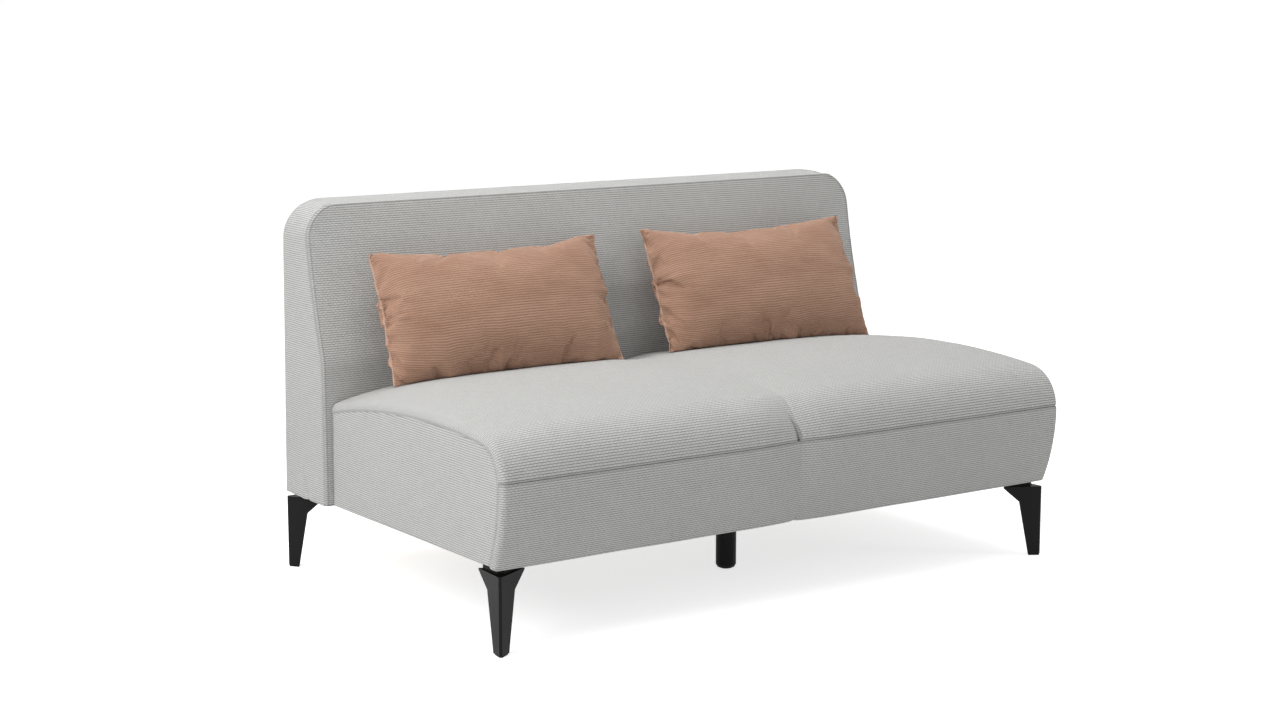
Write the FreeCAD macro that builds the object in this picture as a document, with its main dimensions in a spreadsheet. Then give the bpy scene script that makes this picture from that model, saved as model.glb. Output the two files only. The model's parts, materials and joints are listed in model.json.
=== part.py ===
import FreeCAD, Part
import Sketcher
import math
import os

# An armless two-seat sofa on five legs: a seat unit, a raked back unit bolted behind it,
# four folded-plate corner legs, a round centre leg and two loose pillows.
# Frame: +X to the right as one faces the sofa, -Y to the front, +Z up.
# The origin is on the floor under the middle of the sofa. All sizes are in millimetres.

doc = FreeCAD.newDocument("armless_sofa")
sizes = doc.addObject("Spreadsheet::Sheet", "sizes")

SIZES = {
    # whole sofa
    "sofa_width": 1440, "sofa_depth": 880, "sofa_height": 795,
    "seat_width": 1404, "seat_depth": 688, "underside_height": 167,
    # seat upholstery, setbacks counted from the foremost line of the front
    "seat_height": 446, "crown_setback": 280,
    "shoulder_height": 430, "shoulder_setback": 75,
    "brow_height": 393, "brow_setback": 18,
    "nose_height": 338,
    "chin_height": 235, "chin_setback": 11,
    "foot_setback": 35, "seat_rear_height": 416,
    "seat_side_drop": 38, "shoulder_side_drop": 22,
    "seat_corner_round": 14, "side_seam_inset": 12, "front_seam_height": 335,
    "tuck_depth": 15, "rear_tuck_depth": 9, "tuck_spread": 45,
    # back upholstery
    "back_top_thickness": 105, "back_rear_lean": 18, "back_bend_height": 470,
    "back_hollow": 9, "back_crown": 14, "back_corner_radius": 80,
    "back_top_rise": 8, "back_rear_round": 20, "back_edge_round": 7,
    "back_seam_setback": 5, "back_rear_seam_setback": 4,
    # fabric and soft clearances
    "cover_thickness": 2, "soft_gap": 0.3,
    # seat frame
    "front_padding": 52, "side_padding": 14, "frame_lift": 3,
    "rail_thickness": 25, "rail_height": 130, "centre_rail_height": 95,
    "corner_block_side": 90, "corner_block_height": 60,
    "dust_cover_thickness": 1.5,
    # seat suspension
    "strap_width": 60, "strap_thickness": 2, "strap_staple_margin": 5,
    "felt_thickness": 3,
    # back frame
    "board_thickness": 18, "back_side_padding": 9,
    "back_foam_start": 380, "back_foam_thickness": 44,
    "back_top_rail_height": 45, "back_top_rail_thickness": 40,
    "back_middle_rail_height": 60, "back_strap_width": 50,
    # bolts between the two units
    "bolt_diameter": 8, "bolt_hole_clearance": 0.5, "bolt_spacing": 360,
    "bolt_head_width": 13, "bolt_head_height": 5.5, "bolt_spare_length": 3,
    "nut_height": 7,
    # folded-plate legs
    "leg_height": 155, "leg_plate": 2.5, "leg_top_plate": 3, "leg_ridge": 6,
    "leg_half_angle": 29, "leg_foot_width": 25, "leg_knee_width": 48,
    "leg_knee_height": 121, "leg_top_width": 84,
    "front_leg_turn": 57, "front_leg_side_inset": 13, "front_leg_setback": 33,
    "rear_leg_turn": 27.5, "rear_leg_side_inset": 2, "rear_leg_inset": 5,
    "glide_height": 3, "glide_inset": 1.2,
    "spacer_start": 24, "spacer_end": 67, "spacer_front_half": 7, "spacer_rear_half": 35,
    "screw_diameter": 4.5, "screw_head_diameter": 9, "screw_head_height": 2.5,
    "screw_length": 34, "screw_first": 38, "screw_second": 60, "screw_spread": 22,
    # centre leg
    "centre_leg_diameter": 44, "centre_leg_offset": 55, "centre_leg_setback": 335,
    "centre_leg_foot_step": 3, "centre_leg_foot_round": 9,
    "centre_block_width": 90, "centre_block_height": 45,
    "stud_diameter": 8, "stud_length": 60,
    # loose pillows
    "pillow_length": 556, "pillow_height": 290, "pillow_thickness": 140,
    "pillow_pull_in": 12, "pillow_edge": 5, "pillow_end_rise": 60, "pillow_end_run": 90,
    "pillow_lean": 22,
    "pillow_left_offset": 336, "pillow_right_offset": 354, "pillow_lift_in": 40,
}

for row, (alias, size) in enumerate(SIZES.items(), start=1):
    sizes.set(f"A{row}", alias)
    sizes.set(f"B{row}", str(size))
    sizes.setAlias(f"B{row}", alias)
doc.recompute()

STRAPS_LONG = 10
STRAPS_CROSS = 3
STRAPS_BACK = 6
BOLTS = 4


def number(expression):
    """The value of an expression on the sheet's aliases."""
    found = sizes.evalExpression(expression)
    return float(getattr(found, "Value", found))


# Places that several sub-parts share, each written once in the sheet's words
FRONT = "(-sizes.sofa_depth / 2)"
REAR = "(sizes.sofa_depth / 2)"
SEAT_REAR = f"({FRONT} + sizes.seat_depth)"
SEAT_HALF = "(sizes.seat_width / 2)"
BACK_HALF = "(sizes.sofa_width / 2)"
SKIN = "(sizes.cover_thickness + sizes.soft_gap)"

FORM_FOOT = "(sizes.underside_height - sizes.cover_thickness)"
FRAME_BOTTOM = "(sizes.underside_height + sizes.frame_lift)"
FRAME_FRONT = f"({FRONT} + {SKIN} + sizes.front_padding)"
FRAME_REAR = f"({SEAT_REAR} - {SKIN})"
FRAME_HALF = f"({SEAT_HALF} - {SKIN} - sizes.side_padding)"
RAIL_TOP = f"({FRAME_BOTTOM} + sizes.rail_height)"
STRAP_STEP = "(sizes.strap_thickness + sizes.soft_gap)"
FELT_BOTTOM = f"({RAIL_TOP} + 2 * {STRAP_STEP})"
FOAM_BOTTOM = f"({FELT_BOTTOM} + sizes.felt_thickness)"
DUST_BOTTOM = f"({FRAME_BOTTOM} - sizes.dust_cover_thickness)"

BACK_FRAME_FRONT = f"({SEAT_REAR} + {SKIN})"
BACK_TOP_FRONT = f"({REAR} - sizes.back_rear_lean - sizes.back_top_thickness)"
BACK_FRAME_TOP = "(sizes.sofa_height - sizes.back_corner_radius)"
BACK_FRAME_HALF = f"({BACK_HALF} - {SKIN} - sizes.back_side_padding)"
RAKE_BOTTOM_Y = f"({SEAT_REAR} + sizes.back_foam_thickness)"
RAKE_TOP_Y = f"({BACK_TOP_FRONT} + sizes.back_foam_thickness)"
RAKE_BOTTOM_Z = "sizes.back_bend_height"
BOLT_HEIGHT = f"({FRAME_BOTTOM} + sizes.rail_height / 2)"


def rake_y(height):
    """The back frame's raked front edge, as y at a height."""
    run = f"({RAKE_TOP_Y} - {RAKE_BOTTOM_Y}) / ({BACK_FRAME_TOP} - {RAKE_BOTTOM_Z})"
    return f"({RAKE_BOTTOM_Y} + ({height} - {RAKE_BOTTOM_Z}) * {run})"


def rear_y(height):
    """The inner face of the leaning rear cover, as y at a height."""
    rise = f"({height} - sizes.underside_height) / (sizes.sofa_height - sizes.underside_height)"
    return f"({REAR} - {SKIN} - sizes.soft_gap - sizes.back_rear_lean * {rise})"


nodes = []


def keep(item, label):
    """Register a finished sub-part under the name of its file."""
    item.Label = label
    nodes.append(item)
    return item


def place(item, x, y, z):
    """Bind an item's position to expressions on the sheet."""
    item.setExpression("Placement.Base.x", x)
    item.setExpression("Placement.Base.y", y)
    item.setExpression("Placement.Base.z", z)


def board(name, x, y, z, length, width, height):
    """A plain board or sheet, placed by its lowest corner."""
    item = doc.addObject("Part::Box", name)
    item.setExpression("Length", length)
    item.setExpression("Width", width)
    item.setExpression("Height", height)
    place(item, x, y, z)
    return item


def joined(name, parts):
    """Touching shapes made one piece."""
    item = doc.addObject("Part::MultiFuse", name)
    item.Shapes = parts
    item.Refine = True
    return item


def group(name, parts):
    """Separate solids that share a node."""
    item = doc.addObject("Part::Compound", name)
    item.Links = parts
    return item


def drilled(name, base, drills):
    """A shape less the holes that pass through it."""
    tool = drills[0] if len(drills) == 1 else group(f"{name}_holes", drills)
    item = doc.addObject("Part::Cut", name)
    item.Base = base
    item.Tool = tool
    return item


def origin_plane(body, role):
    return next(plane for plane in body.Origin.OriginFeatures if plane.Role == role)


def outline(body, name, corners, role="XY_Plane", lift=None):
    """A closed sketch of straight edges whose corners are bound to the sheet."""
    sketch = body.newObject("Sketcher::SketchObject", name)
    sketch.AttachmentSupport = [(origin_plane(body, role), "")]
    sketch.MapMode = "FlatFace"
    if lift:
        sketch.setExpression("AttachmentOffset.Base.z", lift)
    points = [FreeCAD.Vector(number(x), number(y), 0) for x, y in corners]
    following = points[1:] + points[:1]
    for start, end in zip(points, following):
        sketch.addGeometry(Part.LineSegment(start, end), False)
    for index, (x, y) in enumerate(corners):
        after = (index + 1) % len(corners)
        sketch.addConstraint(Sketcher.Constraint("Coincident", index, 2, after, 1))
        for axis, size in (("DistanceX", x), ("DistanceY", y)):
            constraint = Sketcher.Constraint(axis, -1, 1, index, 1, number(size))
            row = sketch.addConstraint(constraint)
            sketch.setExpression(f"Constraints[{row}]", size)
    return sketch


def pad(body, sketch, length, midplane=False):
    feature = body.newObject("PartDesign::Pad", f"{sketch.Name}_pad")
    feature.Profile = sketch
    feature.setExpression("Length", length)
    feature.Midplane = midplane
    return feature


def prism(name, corners, length, role="XY_Plane", midplane=False):
    """A body padded from one outline."""
    body = doc.addObject("PartDesign::Body", name)
    sketch = outline(body, f"{name}_outline", corners, role)
    pad(body, sketch, length, midplane)
    return body


def frozen(name, shape):
    """A shape worked out in code from the sheet's values."""
    item = doc.addObject("Part::Feature", name)
    item.Shape = shape
    return item


def box_between(low, high):
    size = high - low
    return Part.makeBox(size.x, size.y, size.z, low)


# Crowned upholstery: sections in the YZ plane lofted across the width. Every form starts
# below the sofa's underside and is trimmed to length, so that skin and padding keep parallel.

FAR = 3000.0


def everything(low_x=-FAR, low_y=-FAR, low_z=-FAR, high_x=FAR, high_y=FAR, high_z=FAR):
    """A block that keeps one side of a shape when the two are intersected."""
    return box_between(FreeCAD.Vector(low_x, low_y, low_z), FreeCAD.Vector(high_x, high_y, high_z))


def closed_section(edges):
    return Part.Wire([edge.toShape() for edge in edges])


def edge_round(distance, radius):
    """How far a rounded edge has drawn back at a distance in from the side."""
    if distance >= radius:
        return 0.0
    return radius - math.sqrt(radius ** 2 - (radius - distance) ** 2)


def seat_section(x, half, inset, rear):
    """The seat's side outline at one station; inset moves it inwards by a thickness."""
    across = (abs(x) / half) ** 6
    crown_drop = number("sizes.seat_side_drop") * across + inset
    shoulder_drop = number("sizes.shoulder_side_drop") * across + inset
    gather = math.exp(-(x / number("sizes.tuck_spread")) ** 2)
    tuck = number("sizes.tuck_depth") * gather
    rear_tuck = number("sizes.rear_tuck_depth") * gather
    pull = edge_round(half - abs(x), number("sizes.seat_corner_round")) + inset
    front = number(FRONT)
    bottom = number(FORM_FOOT)

    def point(setback, height):
        return FreeCAD.Vector(x, front + setback, height)

    foot = point(number("sizes.foot_setback") + pull, bottom)
    chin = point(number("sizes.chin_setback") + pull + tuck / 3, number("sizes.chin_height"))
    nose = point(pull + tuck * 2 / 3, number("sizes.nose_height"))
    brow = point(number("sizes.brow_setback") + pull * 0.8 + tuck * 0.8,
                 number("sizes.brow_height") - shoulder_drop * 0.6 - tuck * 0.7)
    shoulder = point(number("sizes.shoulder_setback") + pull * 0.3,
                     number("sizes.shoulder_height") - shoulder_drop - tuck * 0.5)
    crown = point(number("sizes.crown_setback"),
                  number("sizes.seat_height") - crown_drop - tuck * 0.2)
    rear_top = FreeCAD.Vector(x, rear, number("sizes.seat_rear_height") - crown_drop - rear_tuck)
    rear_bottom = FreeCAD.Vector(x, rear, bottom)
    return closed_section([
        Part.Arc(foot, chin, nose),
        Part.Arc(nose, brow, shoulder),
        Part.Arc(shoulder, crown, rear_top),
        Part.LineSegment(rear_top, rear_bottom),
        Part.LineSegment(rear_bottom, foot),
    ])


def seat_form(inset, rear, bottom):
    """The seat's crowned form, with the centre tucks and rounded side edges."""
    half = number(SEAT_HALF) - inset
    tuck = number("sizes.tuck_spread")
    corner = number("sizes.seat_corner_round")
    inner = [tuck * 0.5, tuck, tuck * 2.2, half * 0.5]
    outer = [half * 0.8, half - corner * 4, half - corner, half - corner * 0.3, half]
    right = inner + outer
    stations = [-x for x in reversed(right)] + [0.0] + right
    sections = [seat_section(x, half, inset, rear) for x in stations]
    return Part.makeLoft(sections, True, True).common(everything(low_z=bottom))


def back_section(x, half, inset):
    """The back's side outline at one station: upright foot, raked face, level top."""
    bulge = number("sizes.back_crown") * (1 - (abs(x) / half) ** 4)
    pull = edge_round(half - abs(x), number("sizes.back_edge_round")) + inset
    front = number(SEAT_REAR) + pull
    top_front = number(BACK_TOP_FRONT) + pull
    bottom = number(FORM_FOOT)
    bend = number("sizes.back_bend_height")
    rise = number("sizes.back_top_rise")
    crest = number("sizes.sofa_height") - inset
    radius = number("sizes.back_rear_round")
    rear_top = number(REAR) - number("sizes.back_rear_lean") - inset
    rear_foot = number(REAR) - inset
    middle = (front + top_front) / 2 + number("sizes.back_hollow") - bulge
    lip = crest - rise

    def point(y, z):
        return FreeCAD.Vector(x, y, z)

    corner = point(top_front, lip)
    knee = point(front, bend)
    shoulder = point(rear_top - radius, crest - 1)
    diagonal = radius * (1 - math.sqrt(0.5))
    return closed_section([
        Part.LineSegment(point(front, bottom), knee),
        Part.Arc(knee, point(middle, (bend + lip) / 2), corner),
        Part.Arc(corner, point((top_front + rear_top - radius) / 2, crest), shoulder),
        Part.Arc(shoulder, point(rear_top - diagonal, crest - 1 - diagonal),
                 point(rear_top, crest - 1 - radius)),
        Part.LineSegment(point(rear_top, crest - 1 - radius), point(rear_foot, bottom)),
        Part.LineSegment(point(rear_foot, bottom), point(front, bottom)),
    ])


def back_form(inset, bottom):
    """The back's crowned form, cut to a front outline with two round top corners."""
    half = number(BACK_HALF) - inset
    edge = number("sizes.back_edge_round")
    radius = number("sizes.back_corner_radius") - inset
    top = number("sizes.sofa_height") - inset
    right = [half * 0.45, half * 0.75, half - radius, half - edge * 3, half - edge,
             half - edge * 0.3, half]
    stations = [-x for x in reversed(right)] + [0.0] + right
    slab = Part.makeLoft([back_section(x, half, inset) for x in stations], True, True)
    depth = number("sizes.sofa_depth")
    diagonal = radius * (1 - math.sqrt(0.5))

    def point(x, z):
        return FreeCAD.Vector(x, -depth, z)

    shoulder_left = point(-half, top - radius)
    shoulder_right = point(half, top - radius)
    gate = closed_section([
        Part.LineSegment(point(-half, bottom), shoulder_left),
        Part.Arc(shoulder_left, point(-half + diagonal, top - diagonal),
                 point(-half + radius, top)),
        Part.LineSegment(point(-half + radius, top), point(half - radius, top)),
        Part.Arc(point(half - radius, top), point(half - diagonal, top - diagonal),
                 shoulder_right),
        Part.LineSegment(shoulder_right, point(half, bottom)),
        Part.LineSegment(point(half, bottom), point(-half, bottom)),
    ])
    return slab.common(Part.Face(gate).extrude(FreeCAD.Vector(0, 2 * depth, 0)))


def strip_prism(corners, half):
    """A wide prism with the given YZ outline, used to divide the back."""
    points = [FreeCAD.Vector(-half, number(y), number(z)) for y, z in corners]
    face = Part.Face(Part.makePolygon(points + points[:1]))
    return face.extrude(FreeCAD.Vector(2 * half, 0, 0))


# Seat frame

def rails():
    width = f"(2 * {FRAME_HALF})"
    thick = "sizes.rail_thickness"
    high = "sizes.rail_height"
    inner = f"({FRAME_REAR} - {FRAME_FRONT} - 2 * {thick})"
    behind = f"({FRAME_FRONT} + {thick})"
    front = board("front_rail_board", f"-{FRAME_HALF}", FRAME_FRONT, FRAME_BOTTOM,
                  width, thick, high)
    rear = board("rear_rail_board", f"-{FRAME_HALF}", f"({FRAME_REAR} - {thick})",
                 FRAME_BOTTOM, width, thick, high)
    left = board("left_rail_board", f"-{FRAME_HALF}", behind, FRAME_BOTTOM,
                 thick, inner, high)
    right = board("right_rail_board", f"({FRAME_HALF} - {thick})", behind, FRAME_BOTTOM,
                  thick, inner, high)
    centre = board("seat_centre_rail", f"(-{thick} / 2)", behind, FRAME_BOTTOM,
                   thick, inner, "sizes.centre_rail_height")
    return front, rear, left, right, centre


def corner_blocks():
    """Four triangular blocks glued into the corners of the seat frame."""
    reach_x = f"({FRAME_HALF} - sizes.rail_thickness)"
    near_y = f"({FRAME_FRONT} + sizes.rail_thickness)"
    far_y = f"({FRAME_REAR} - sizes.rail_thickness)"
    side = "sizes.corner_block_side"
    blocks = []
    for name, sign, y, step in (("front_left", "-1", near_y, "1"), ("front_right", "1", near_y, "1"),
                                ("rear_left", "-1", far_y, "-1"), ("rear_right", "1", far_y, "-1")):
        x = f"({sign} * {reach_x})"
        corners = [(x, y), (f"({x} - {sign} * {side})", y), (x, f"({y} + {step} * {side})")]
        block = prism(f"block_{name}", corners, "sizes.corner_block_height")
        block.setExpression("Placement.Base.z", FRAME_BOTTOM)
        blocks.append(block)
    return group("seat_corner_blocks", blocks)


def strap_x(index):
    """The middle of one front-to-back strap."""
    pitch = f"(2 * ({FRAME_HALF} - sizes.rail_thickness) / {STRAPS_LONG})"
    return f"({pitch} * {index - (STRAPS_LONG - 1) / 2})"


def long_straps():
    """Front-to-back elastic straps, stapled on top of the front and rear rails."""
    margin = "sizes.strap_staple_margin"
    straps = []
    for index in range(STRAPS_LONG):
        strap = board(f"strap_{index + 1}", f"({strap_x(index)} - sizes.strap_width / 2)",
                      f"({FRAME_FRONT} + {margin})", RAIL_TOP, "sizes.strap_width",
                      f"({FRAME_REAR} - {FRAME_FRONT} - 2 * {margin})", "sizes.strap_thickness")
        straps.append(strap)
    return group("seat_straps_long", straps)


def cross_strap(order):
    """One side-to-side strap, woven over and under the long ones in turn."""
    top = number(RAIL_TOP)
    step = number(STRAP_STEP)
    thick = number("sizes.strap_thickness")
    half_width = number("sizes.strap_width") / 2
    end = number(FRAME_HALF) - number("sizes.strap_staple_margin")
    rail = number(FRAME_HALF) - number("sizes.rail_thickness")
    path = [(-end, top), (-rail, top)]
    for index in range(STRAPS_LONG):
        level = top + step * (1 if (index + order) % 2 else -1)
        middle = number(strap_x(index))
        path += [(middle - half_width - thick, level), (middle + half_width + thick, level)]
    path += [(rail, top), (end, top)]
    front = number(FRAME_FRONT)
    span = number(FRAME_REAR) - front
    y = front + span * (order + 1) / (STRAPS_CROSS + 1) - half_width
    lower = [FreeCAD.Vector(x, y, z) for x, z in path]
    upper = [FreeCAD.Vector(x, y, z + thick) for x, z in reversed(path)]
    face = Part.Face(Part.makePolygon(lower + upper + lower[:1]))
    return face.extrude(FreeCAD.Vector(0, 2 * half_width, 0))


def cross_straps():
    return frozen("seat_straps_cross", Part.makeCompound([cross_strap(n) for n in range(STRAPS_CROSS)]))


# Seat upholstery

def seat_soft_parts():
    """Foam block and the paddings round the frame, all cut from one inner form."""
    inner = seat_form(number(SKIN), number(FRAME_REAR), number(FRAME_BOTTOM))
    foam_bottom = number(FOAM_BOTTOM)
    front = number(FRAME_FRONT)
    half = number(FRAME_HALF)
    foam = inner.common(everything(low_z=foam_bottom))
    wrap = inner.common(everything(high_z=foam_bottom))
    front_pad = wrap.common(everything(high_y=front))
    left_pad = wrap.common(everything(high_x=-half, low_y=front))
    right_pad = wrap.common(everything(low_x=half, low_y=front))
    return (frozen("seat_foam", foam), frozen("seat_front_padding", front_pad),
            frozen("seat_side_padding_left", left_pad),
            frozen("seat_side_padding_right", right_pad))


def seat_covers():
    """The sewn seat cover, divided at its seams into its cut panels."""
    thick = number("sizes.cover_thickness")
    rear = number(SEAT_REAR) - number("sizes.soft_gap")
    bottom = number("sizes.underside_height")
    outer = seat_form(0.0, rear, bottom)
    shell = outer.cut(seat_form(thick, rear - thick, number(FORM_FOOT)))
    side = number(SEAT_HALF) - number("sizes.side_seam_inset")
    seam = number("sizes.front_seam_height")
    rear_face = rear - thick
    left = shell.common(everything(high_x=-side, high_y=rear_face))
    right = shell.common(everything(low_x=side, high_y=rear_face))
    middle = shell.common(everything(low_x=-side, high_x=side, high_y=rear_face))
    front = middle.common(everything(high_z=seam))
    top = middle.common(everything(low_z=seam))
    rear_panel = shell.common(everything(low_y=rear_face))
    return {"seat_side_cover_left": left, "seat_side_cover_right": right,
            "seat_front_cover": front, "seat_top_cover": top, "seat_rear_cover": rear_panel}


# Back frame

def back_side_board(name, x):
    """A plywood side cut to the wedge of the back."""
    corners = [(BACK_FRAME_FRONT, FRAME_BOTTOM), (BACK_FRAME_FRONT, "sizes.back_foam_start"),
               (RAKE_BOTTOM_Y, RAKE_BOTTOM_Z), (RAKE_TOP_Y, BACK_FRAME_TOP),
               (rear_y(BACK_FRAME_TOP), BACK_FRAME_TOP), (rear_y(FRAME_BOTTOM), FRAME_BOTTOM)]
    body = prism(name, corners, "sizes.board_thickness", role="YZ_Plane")
    body.setExpression("Placement.Base.x", x)
    return body


BACK_INNER_HALF = f"({BACK_FRAME_HALF} - sizes.board_thickness)"


def raked_rail(name, low, high, thickness):
    """A cross rail whose front face lies behind the straps, along the rake."""
    front_low = f"({rake_y(low)} + {STRAP_STEP})"
    front_high = f"({rake_y(high)} + {STRAP_STEP})"
    corners = [(front_low, low), (front_high, high),
               (f"({front_high} + {thickness})", high), (f"({front_low} + {thickness})", low)]
    return prism(name, corners, f"(2 * {BACK_INNER_HALF})", role="YZ_Plane", midplane=True)


BACK_TOP_RAIL_LOW = f"({BACK_FRAME_TOP} - sizes.back_top_rail_height)"
BACK_MIDDLE_RAIL_TOP = f"({RAKE_BOTTOM_Z} + sizes.back_middle_rail_height)"


def back_straps():
    """Upright elastic straps stapled to the faces of the two raked rails."""
    low = RAKE_BOTTOM_Z
    high = BACK_FRAME_TOP
    near = "sizes.soft_gap"
    straps = []
    pitch = f"(2 * {BACK_INNER_HALF} / {STRAPS_BACK})"
    for index in range(STRAPS_BACK):
        corners = [(f"({rake_y(low)} + {near})", low), (f"({rake_y(high)} + {near})", high),
                   (f"({rake_y(high)} + {STRAP_STEP})", high),
                   (f"({rake_y(low)} + {STRAP_STEP})", low)]
        strap = prism(f"back_strap_{index + 1}", corners, "sizes.back_strap_width",
                      role="YZ_Plane", midplane=True)
        strap.setExpression("Placement.Base.x", f"({pitch} * {index - (STRAPS_BACK - 1) / 2})")
        straps.append(strap)
    return group("back_straps", straps)


# Back upholstery

def back_soft_parts():
    """The raked foam, and the wadding over the top and both sides of the frame."""
    inner = back_form(number(SKIN), number(FRAME_BOTTOM))
    start = "sizes.back_foam_start"
    high = "(2 * sizes.sofa_height)"
    region = strip_prism([(FRONT, start), (BACK_FRAME_FRONT, start), (RAKE_BOTTOM_Y, RAKE_BOTTOM_Z),
                          (RAKE_TOP_Y, BACK_FRAME_TOP), (RAKE_TOP_Y, high), (FRONT, high)], FAR)
    foam = inner.common(region)
    rest = inner.cut(region)
    top = number(BACK_FRAME_TOP)
    half = number(BACK_FRAME_HALF)
    top_pad = rest.common(everything(low_z=top))
    left_pad = rest.common(everything(high_x=-half, high_z=top))
    right_pad = rest.common(everything(low_x=half, high_z=top))
    return (frozen("back_foam", foam), frozen("back_top_padding", top_pad),
            frozen("back_side_padding_left", left_pad),
            frozen("back_side_padding_right", right_pad))


def front_seam_region():
    """Everything ahead of the seam that runs just behind the back's front edge."""
    setback = number("sizes.back_seam_setback")
    front = number(SEAT_REAR) + setback
    top_front = number(BACK_TOP_FRONT) + setback
    bend = number("sizes.back_bend_height")
    lip = number("sizes.sofa_height - sizes.back_top_rise")
    middle = (front + top_front) / 2 + number("sizes.back_hollow")
    far = number(FRONT)

    def point(y, z):
        return FreeCAD.Vector(-FAR, y, z)

    high = 2 * number("sizes.sofa_height")
    wire = closed_section([
        Part.LineSegment(point(far, 0), point(front, 0)),
        Part.LineSegment(point(front, 0), point(front, bend)),
        Part.Arc(point(front, bend), point(middle, (bend + lip) / 2), point(top_front, lip)),
        Part.LineSegment(point(top_front, lip), point(top_front, high)),
        Part.LineSegment(point(top_front, high), point(far, high)),
        Part.LineSegment(point(far, high), point(far, 0)),
    ])
    return Part.Face(wire).extrude(FreeCAD.Vector(2 * FAR, 0, 0))


def rear_seam_region(bottom, lip):
    """Everything behind the leaning plane in which the rear panel is sewn on."""
    inner = number(REAR) - number("sizes.back_rear_seam_setback")
    lean = number("sizes.back_rear_lean")
    rise = number("sizes.sofa_height") - bottom
    far = number(REAR) * 2
    corners = [(inner, bottom), (inner - lean * (lip - bottom) / rise, lip), (far, lip), (far, bottom)]
    points = [FreeCAD.Vector(-FAR, y, z) for y, z in corners]
    return Part.Face(Part.makePolygon(points + points[:1])).extrude(FreeCAD.Vector(2 * FAR, 0, 0))


def back_covers():
    """The back's cover: front panel, boxing strip over sides and top, rear panel."""
    thick = number("sizes.cover_thickness")
    bottom = number("sizes.underside_height")
    shell = back_form(0.0, bottom).cut(back_form(thick, number(FORM_FOOT)))
    ahead = front_seam_region()
    lip = number("sizes.sofa_height - sizes.back_rear_round")
    front = shell.common(ahead)
    rest = shell.cut(ahead)
    behind = rear_seam_region(bottom, lip)
    rear = rest.common(behind)
    boxing = rest.cut(behind)
    return {"back_front_cover": front, "back_boxing_cover": boxing, "back_rear_cover": rear}


# Bolts that pull the back unit against the seat unit

def bolt_x(index):
    return f"(sizes.bolt_spacing * {index - (BOLTS - 1) / 2})"


BOLT_START = f"({FRAME_REAR} - sizes.rail_thickness)"
BOLT_END = f"({BACK_FRAME_FRONT} + sizes.rail_thickness)"
BACKWARDS = FreeCAD.Vector(0, 1, 0)


def bar(name, sides, x, y, z, width, length, direction=FreeCAD.Vector(0, 0, 1)):
    """A straight bar with flat sides, measured across its corners."""
    item = doc.addObject("Part::Prism", name)
    item.Polygon = sides
    item.setExpression("Circumradius", f"({width}) / 2")
    item.setExpression("Height", length)
    item.Placement.Rotation = FreeCAD.Rotation(FreeCAD.Vector(0, 0, 1), direction)
    place(item, x, y, z)
    return item


def peg(name, x, y, z, diameter, length, direction=FreeCAD.Vector(0, 0, 1)):
    """A small shank or its hole; there are many of them, so each has only eight sides."""
    return bar(name, 8, x, y, z, diameter, length, direction)


def hexagon(name, x, y, z, width, height):
    """A hexagon head or nut, measured across its flats, whose axis runs backwards."""
    return bar(name, 6, x, y, z, f"({width} / cos(30))", height, BACKWARDS)


def unit_bolts():
    """Hexagon bolts put in from inside the seat frame, and their nuts behind the back's rail."""
    bolts = []
    nuts = []
    reach = f"({BOLT_END} - {BOLT_START} + sizes.nut_height + sizes.bolt_spare_length)"
    for index in range(BOLTS):
        x = bolt_x(index)
        shank = peg(f"bolt_shank_{index + 1}", x, BOLT_START, BOLT_HEIGHT,
                    "sizes.bolt_diameter", reach, BACKWARDS)
        head = hexagon(f"bolt_head_{index + 1}", x, f"({BOLT_START} - sizes.bolt_head_height)",
                       BOLT_HEIGHT, "sizes.bolt_head_width", "sizes.bolt_head_height")
        bolts.append(joined(f"unit_bolt_{index + 1}", [shank, head]))
        blank = hexagon(f"nut_blank_{index + 1}", x, BOLT_END, BOLT_HEIGHT,
                        "sizes.bolt_head_width", "sizes.nut_height")
        bore = peg(f"nut_bore_{index + 1}", x, BOLT_END, BOLT_HEIGHT,
                   "sizes.bolt_diameter", "sizes.nut_height", BACKWARDS)
        nuts.append(drilled(f"unit_nut_{index + 1}", blank, [bore]))
    return group("unit_bolts", bolts), group("unit_nuts", nuts)


def bolt_holes(name):
    """Clearance holes for the bolts, long enough for any board or cover on their way."""
    width = "(sizes.bolt_diameter + 2 * sizes.bolt_hole_clearance)"
    start = f"({BOLT_START} - sizes.bolt_head_height)"
    reach = f"({BOLT_END} - {start} + sizes.nut_height)"
    return [peg(f"{name}_hole_{index + 1}", bolt_x(index), start, BOLT_HEIGHT, width, reach,
                BACKWARDS) for index in range(BOLTS)]


# Legs: a plate folded to a narrow V, widening to a knee and flaring to its top plate

LEGS = {
    "front_left": (f"(-({SEAT_HALF} - sizes.front_leg_side_inset))",
                   f"({FRONT} + sizes.front_leg_setback)", "sizes.front_leg_turn", DUST_BOTTOM),
    "front_right": (f"({SEAT_HALF} - sizes.front_leg_side_inset)",
                    f"({FRONT} + sizes.front_leg_setback)", "(180 - sizes.front_leg_turn)",
                    DUST_BOTTOM),
    "rear_left": (f"(-({BACK_HALF} - sizes.rear_leg_side_inset))",
                  f"({REAR} - sizes.rear_leg_inset)", "(-sizes.rear_leg_turn)", FRAME_BOTTOM),
    "rear_right": (f"({BACK_HALF} - sizes.rear_leg_side_inset)",
                   f"({REAR} - sizes.rear_leg_inset)", "(180 + sizes.rear_leg_turn)",
                   FRAME_BOTTOM),
}
LEG_PLATE_BOTTOM = "(sizes.leg_height - sizes.leg_top_plate)"
RIDGE_HALF = "(sizes.leg_ridge / 2)"


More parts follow.
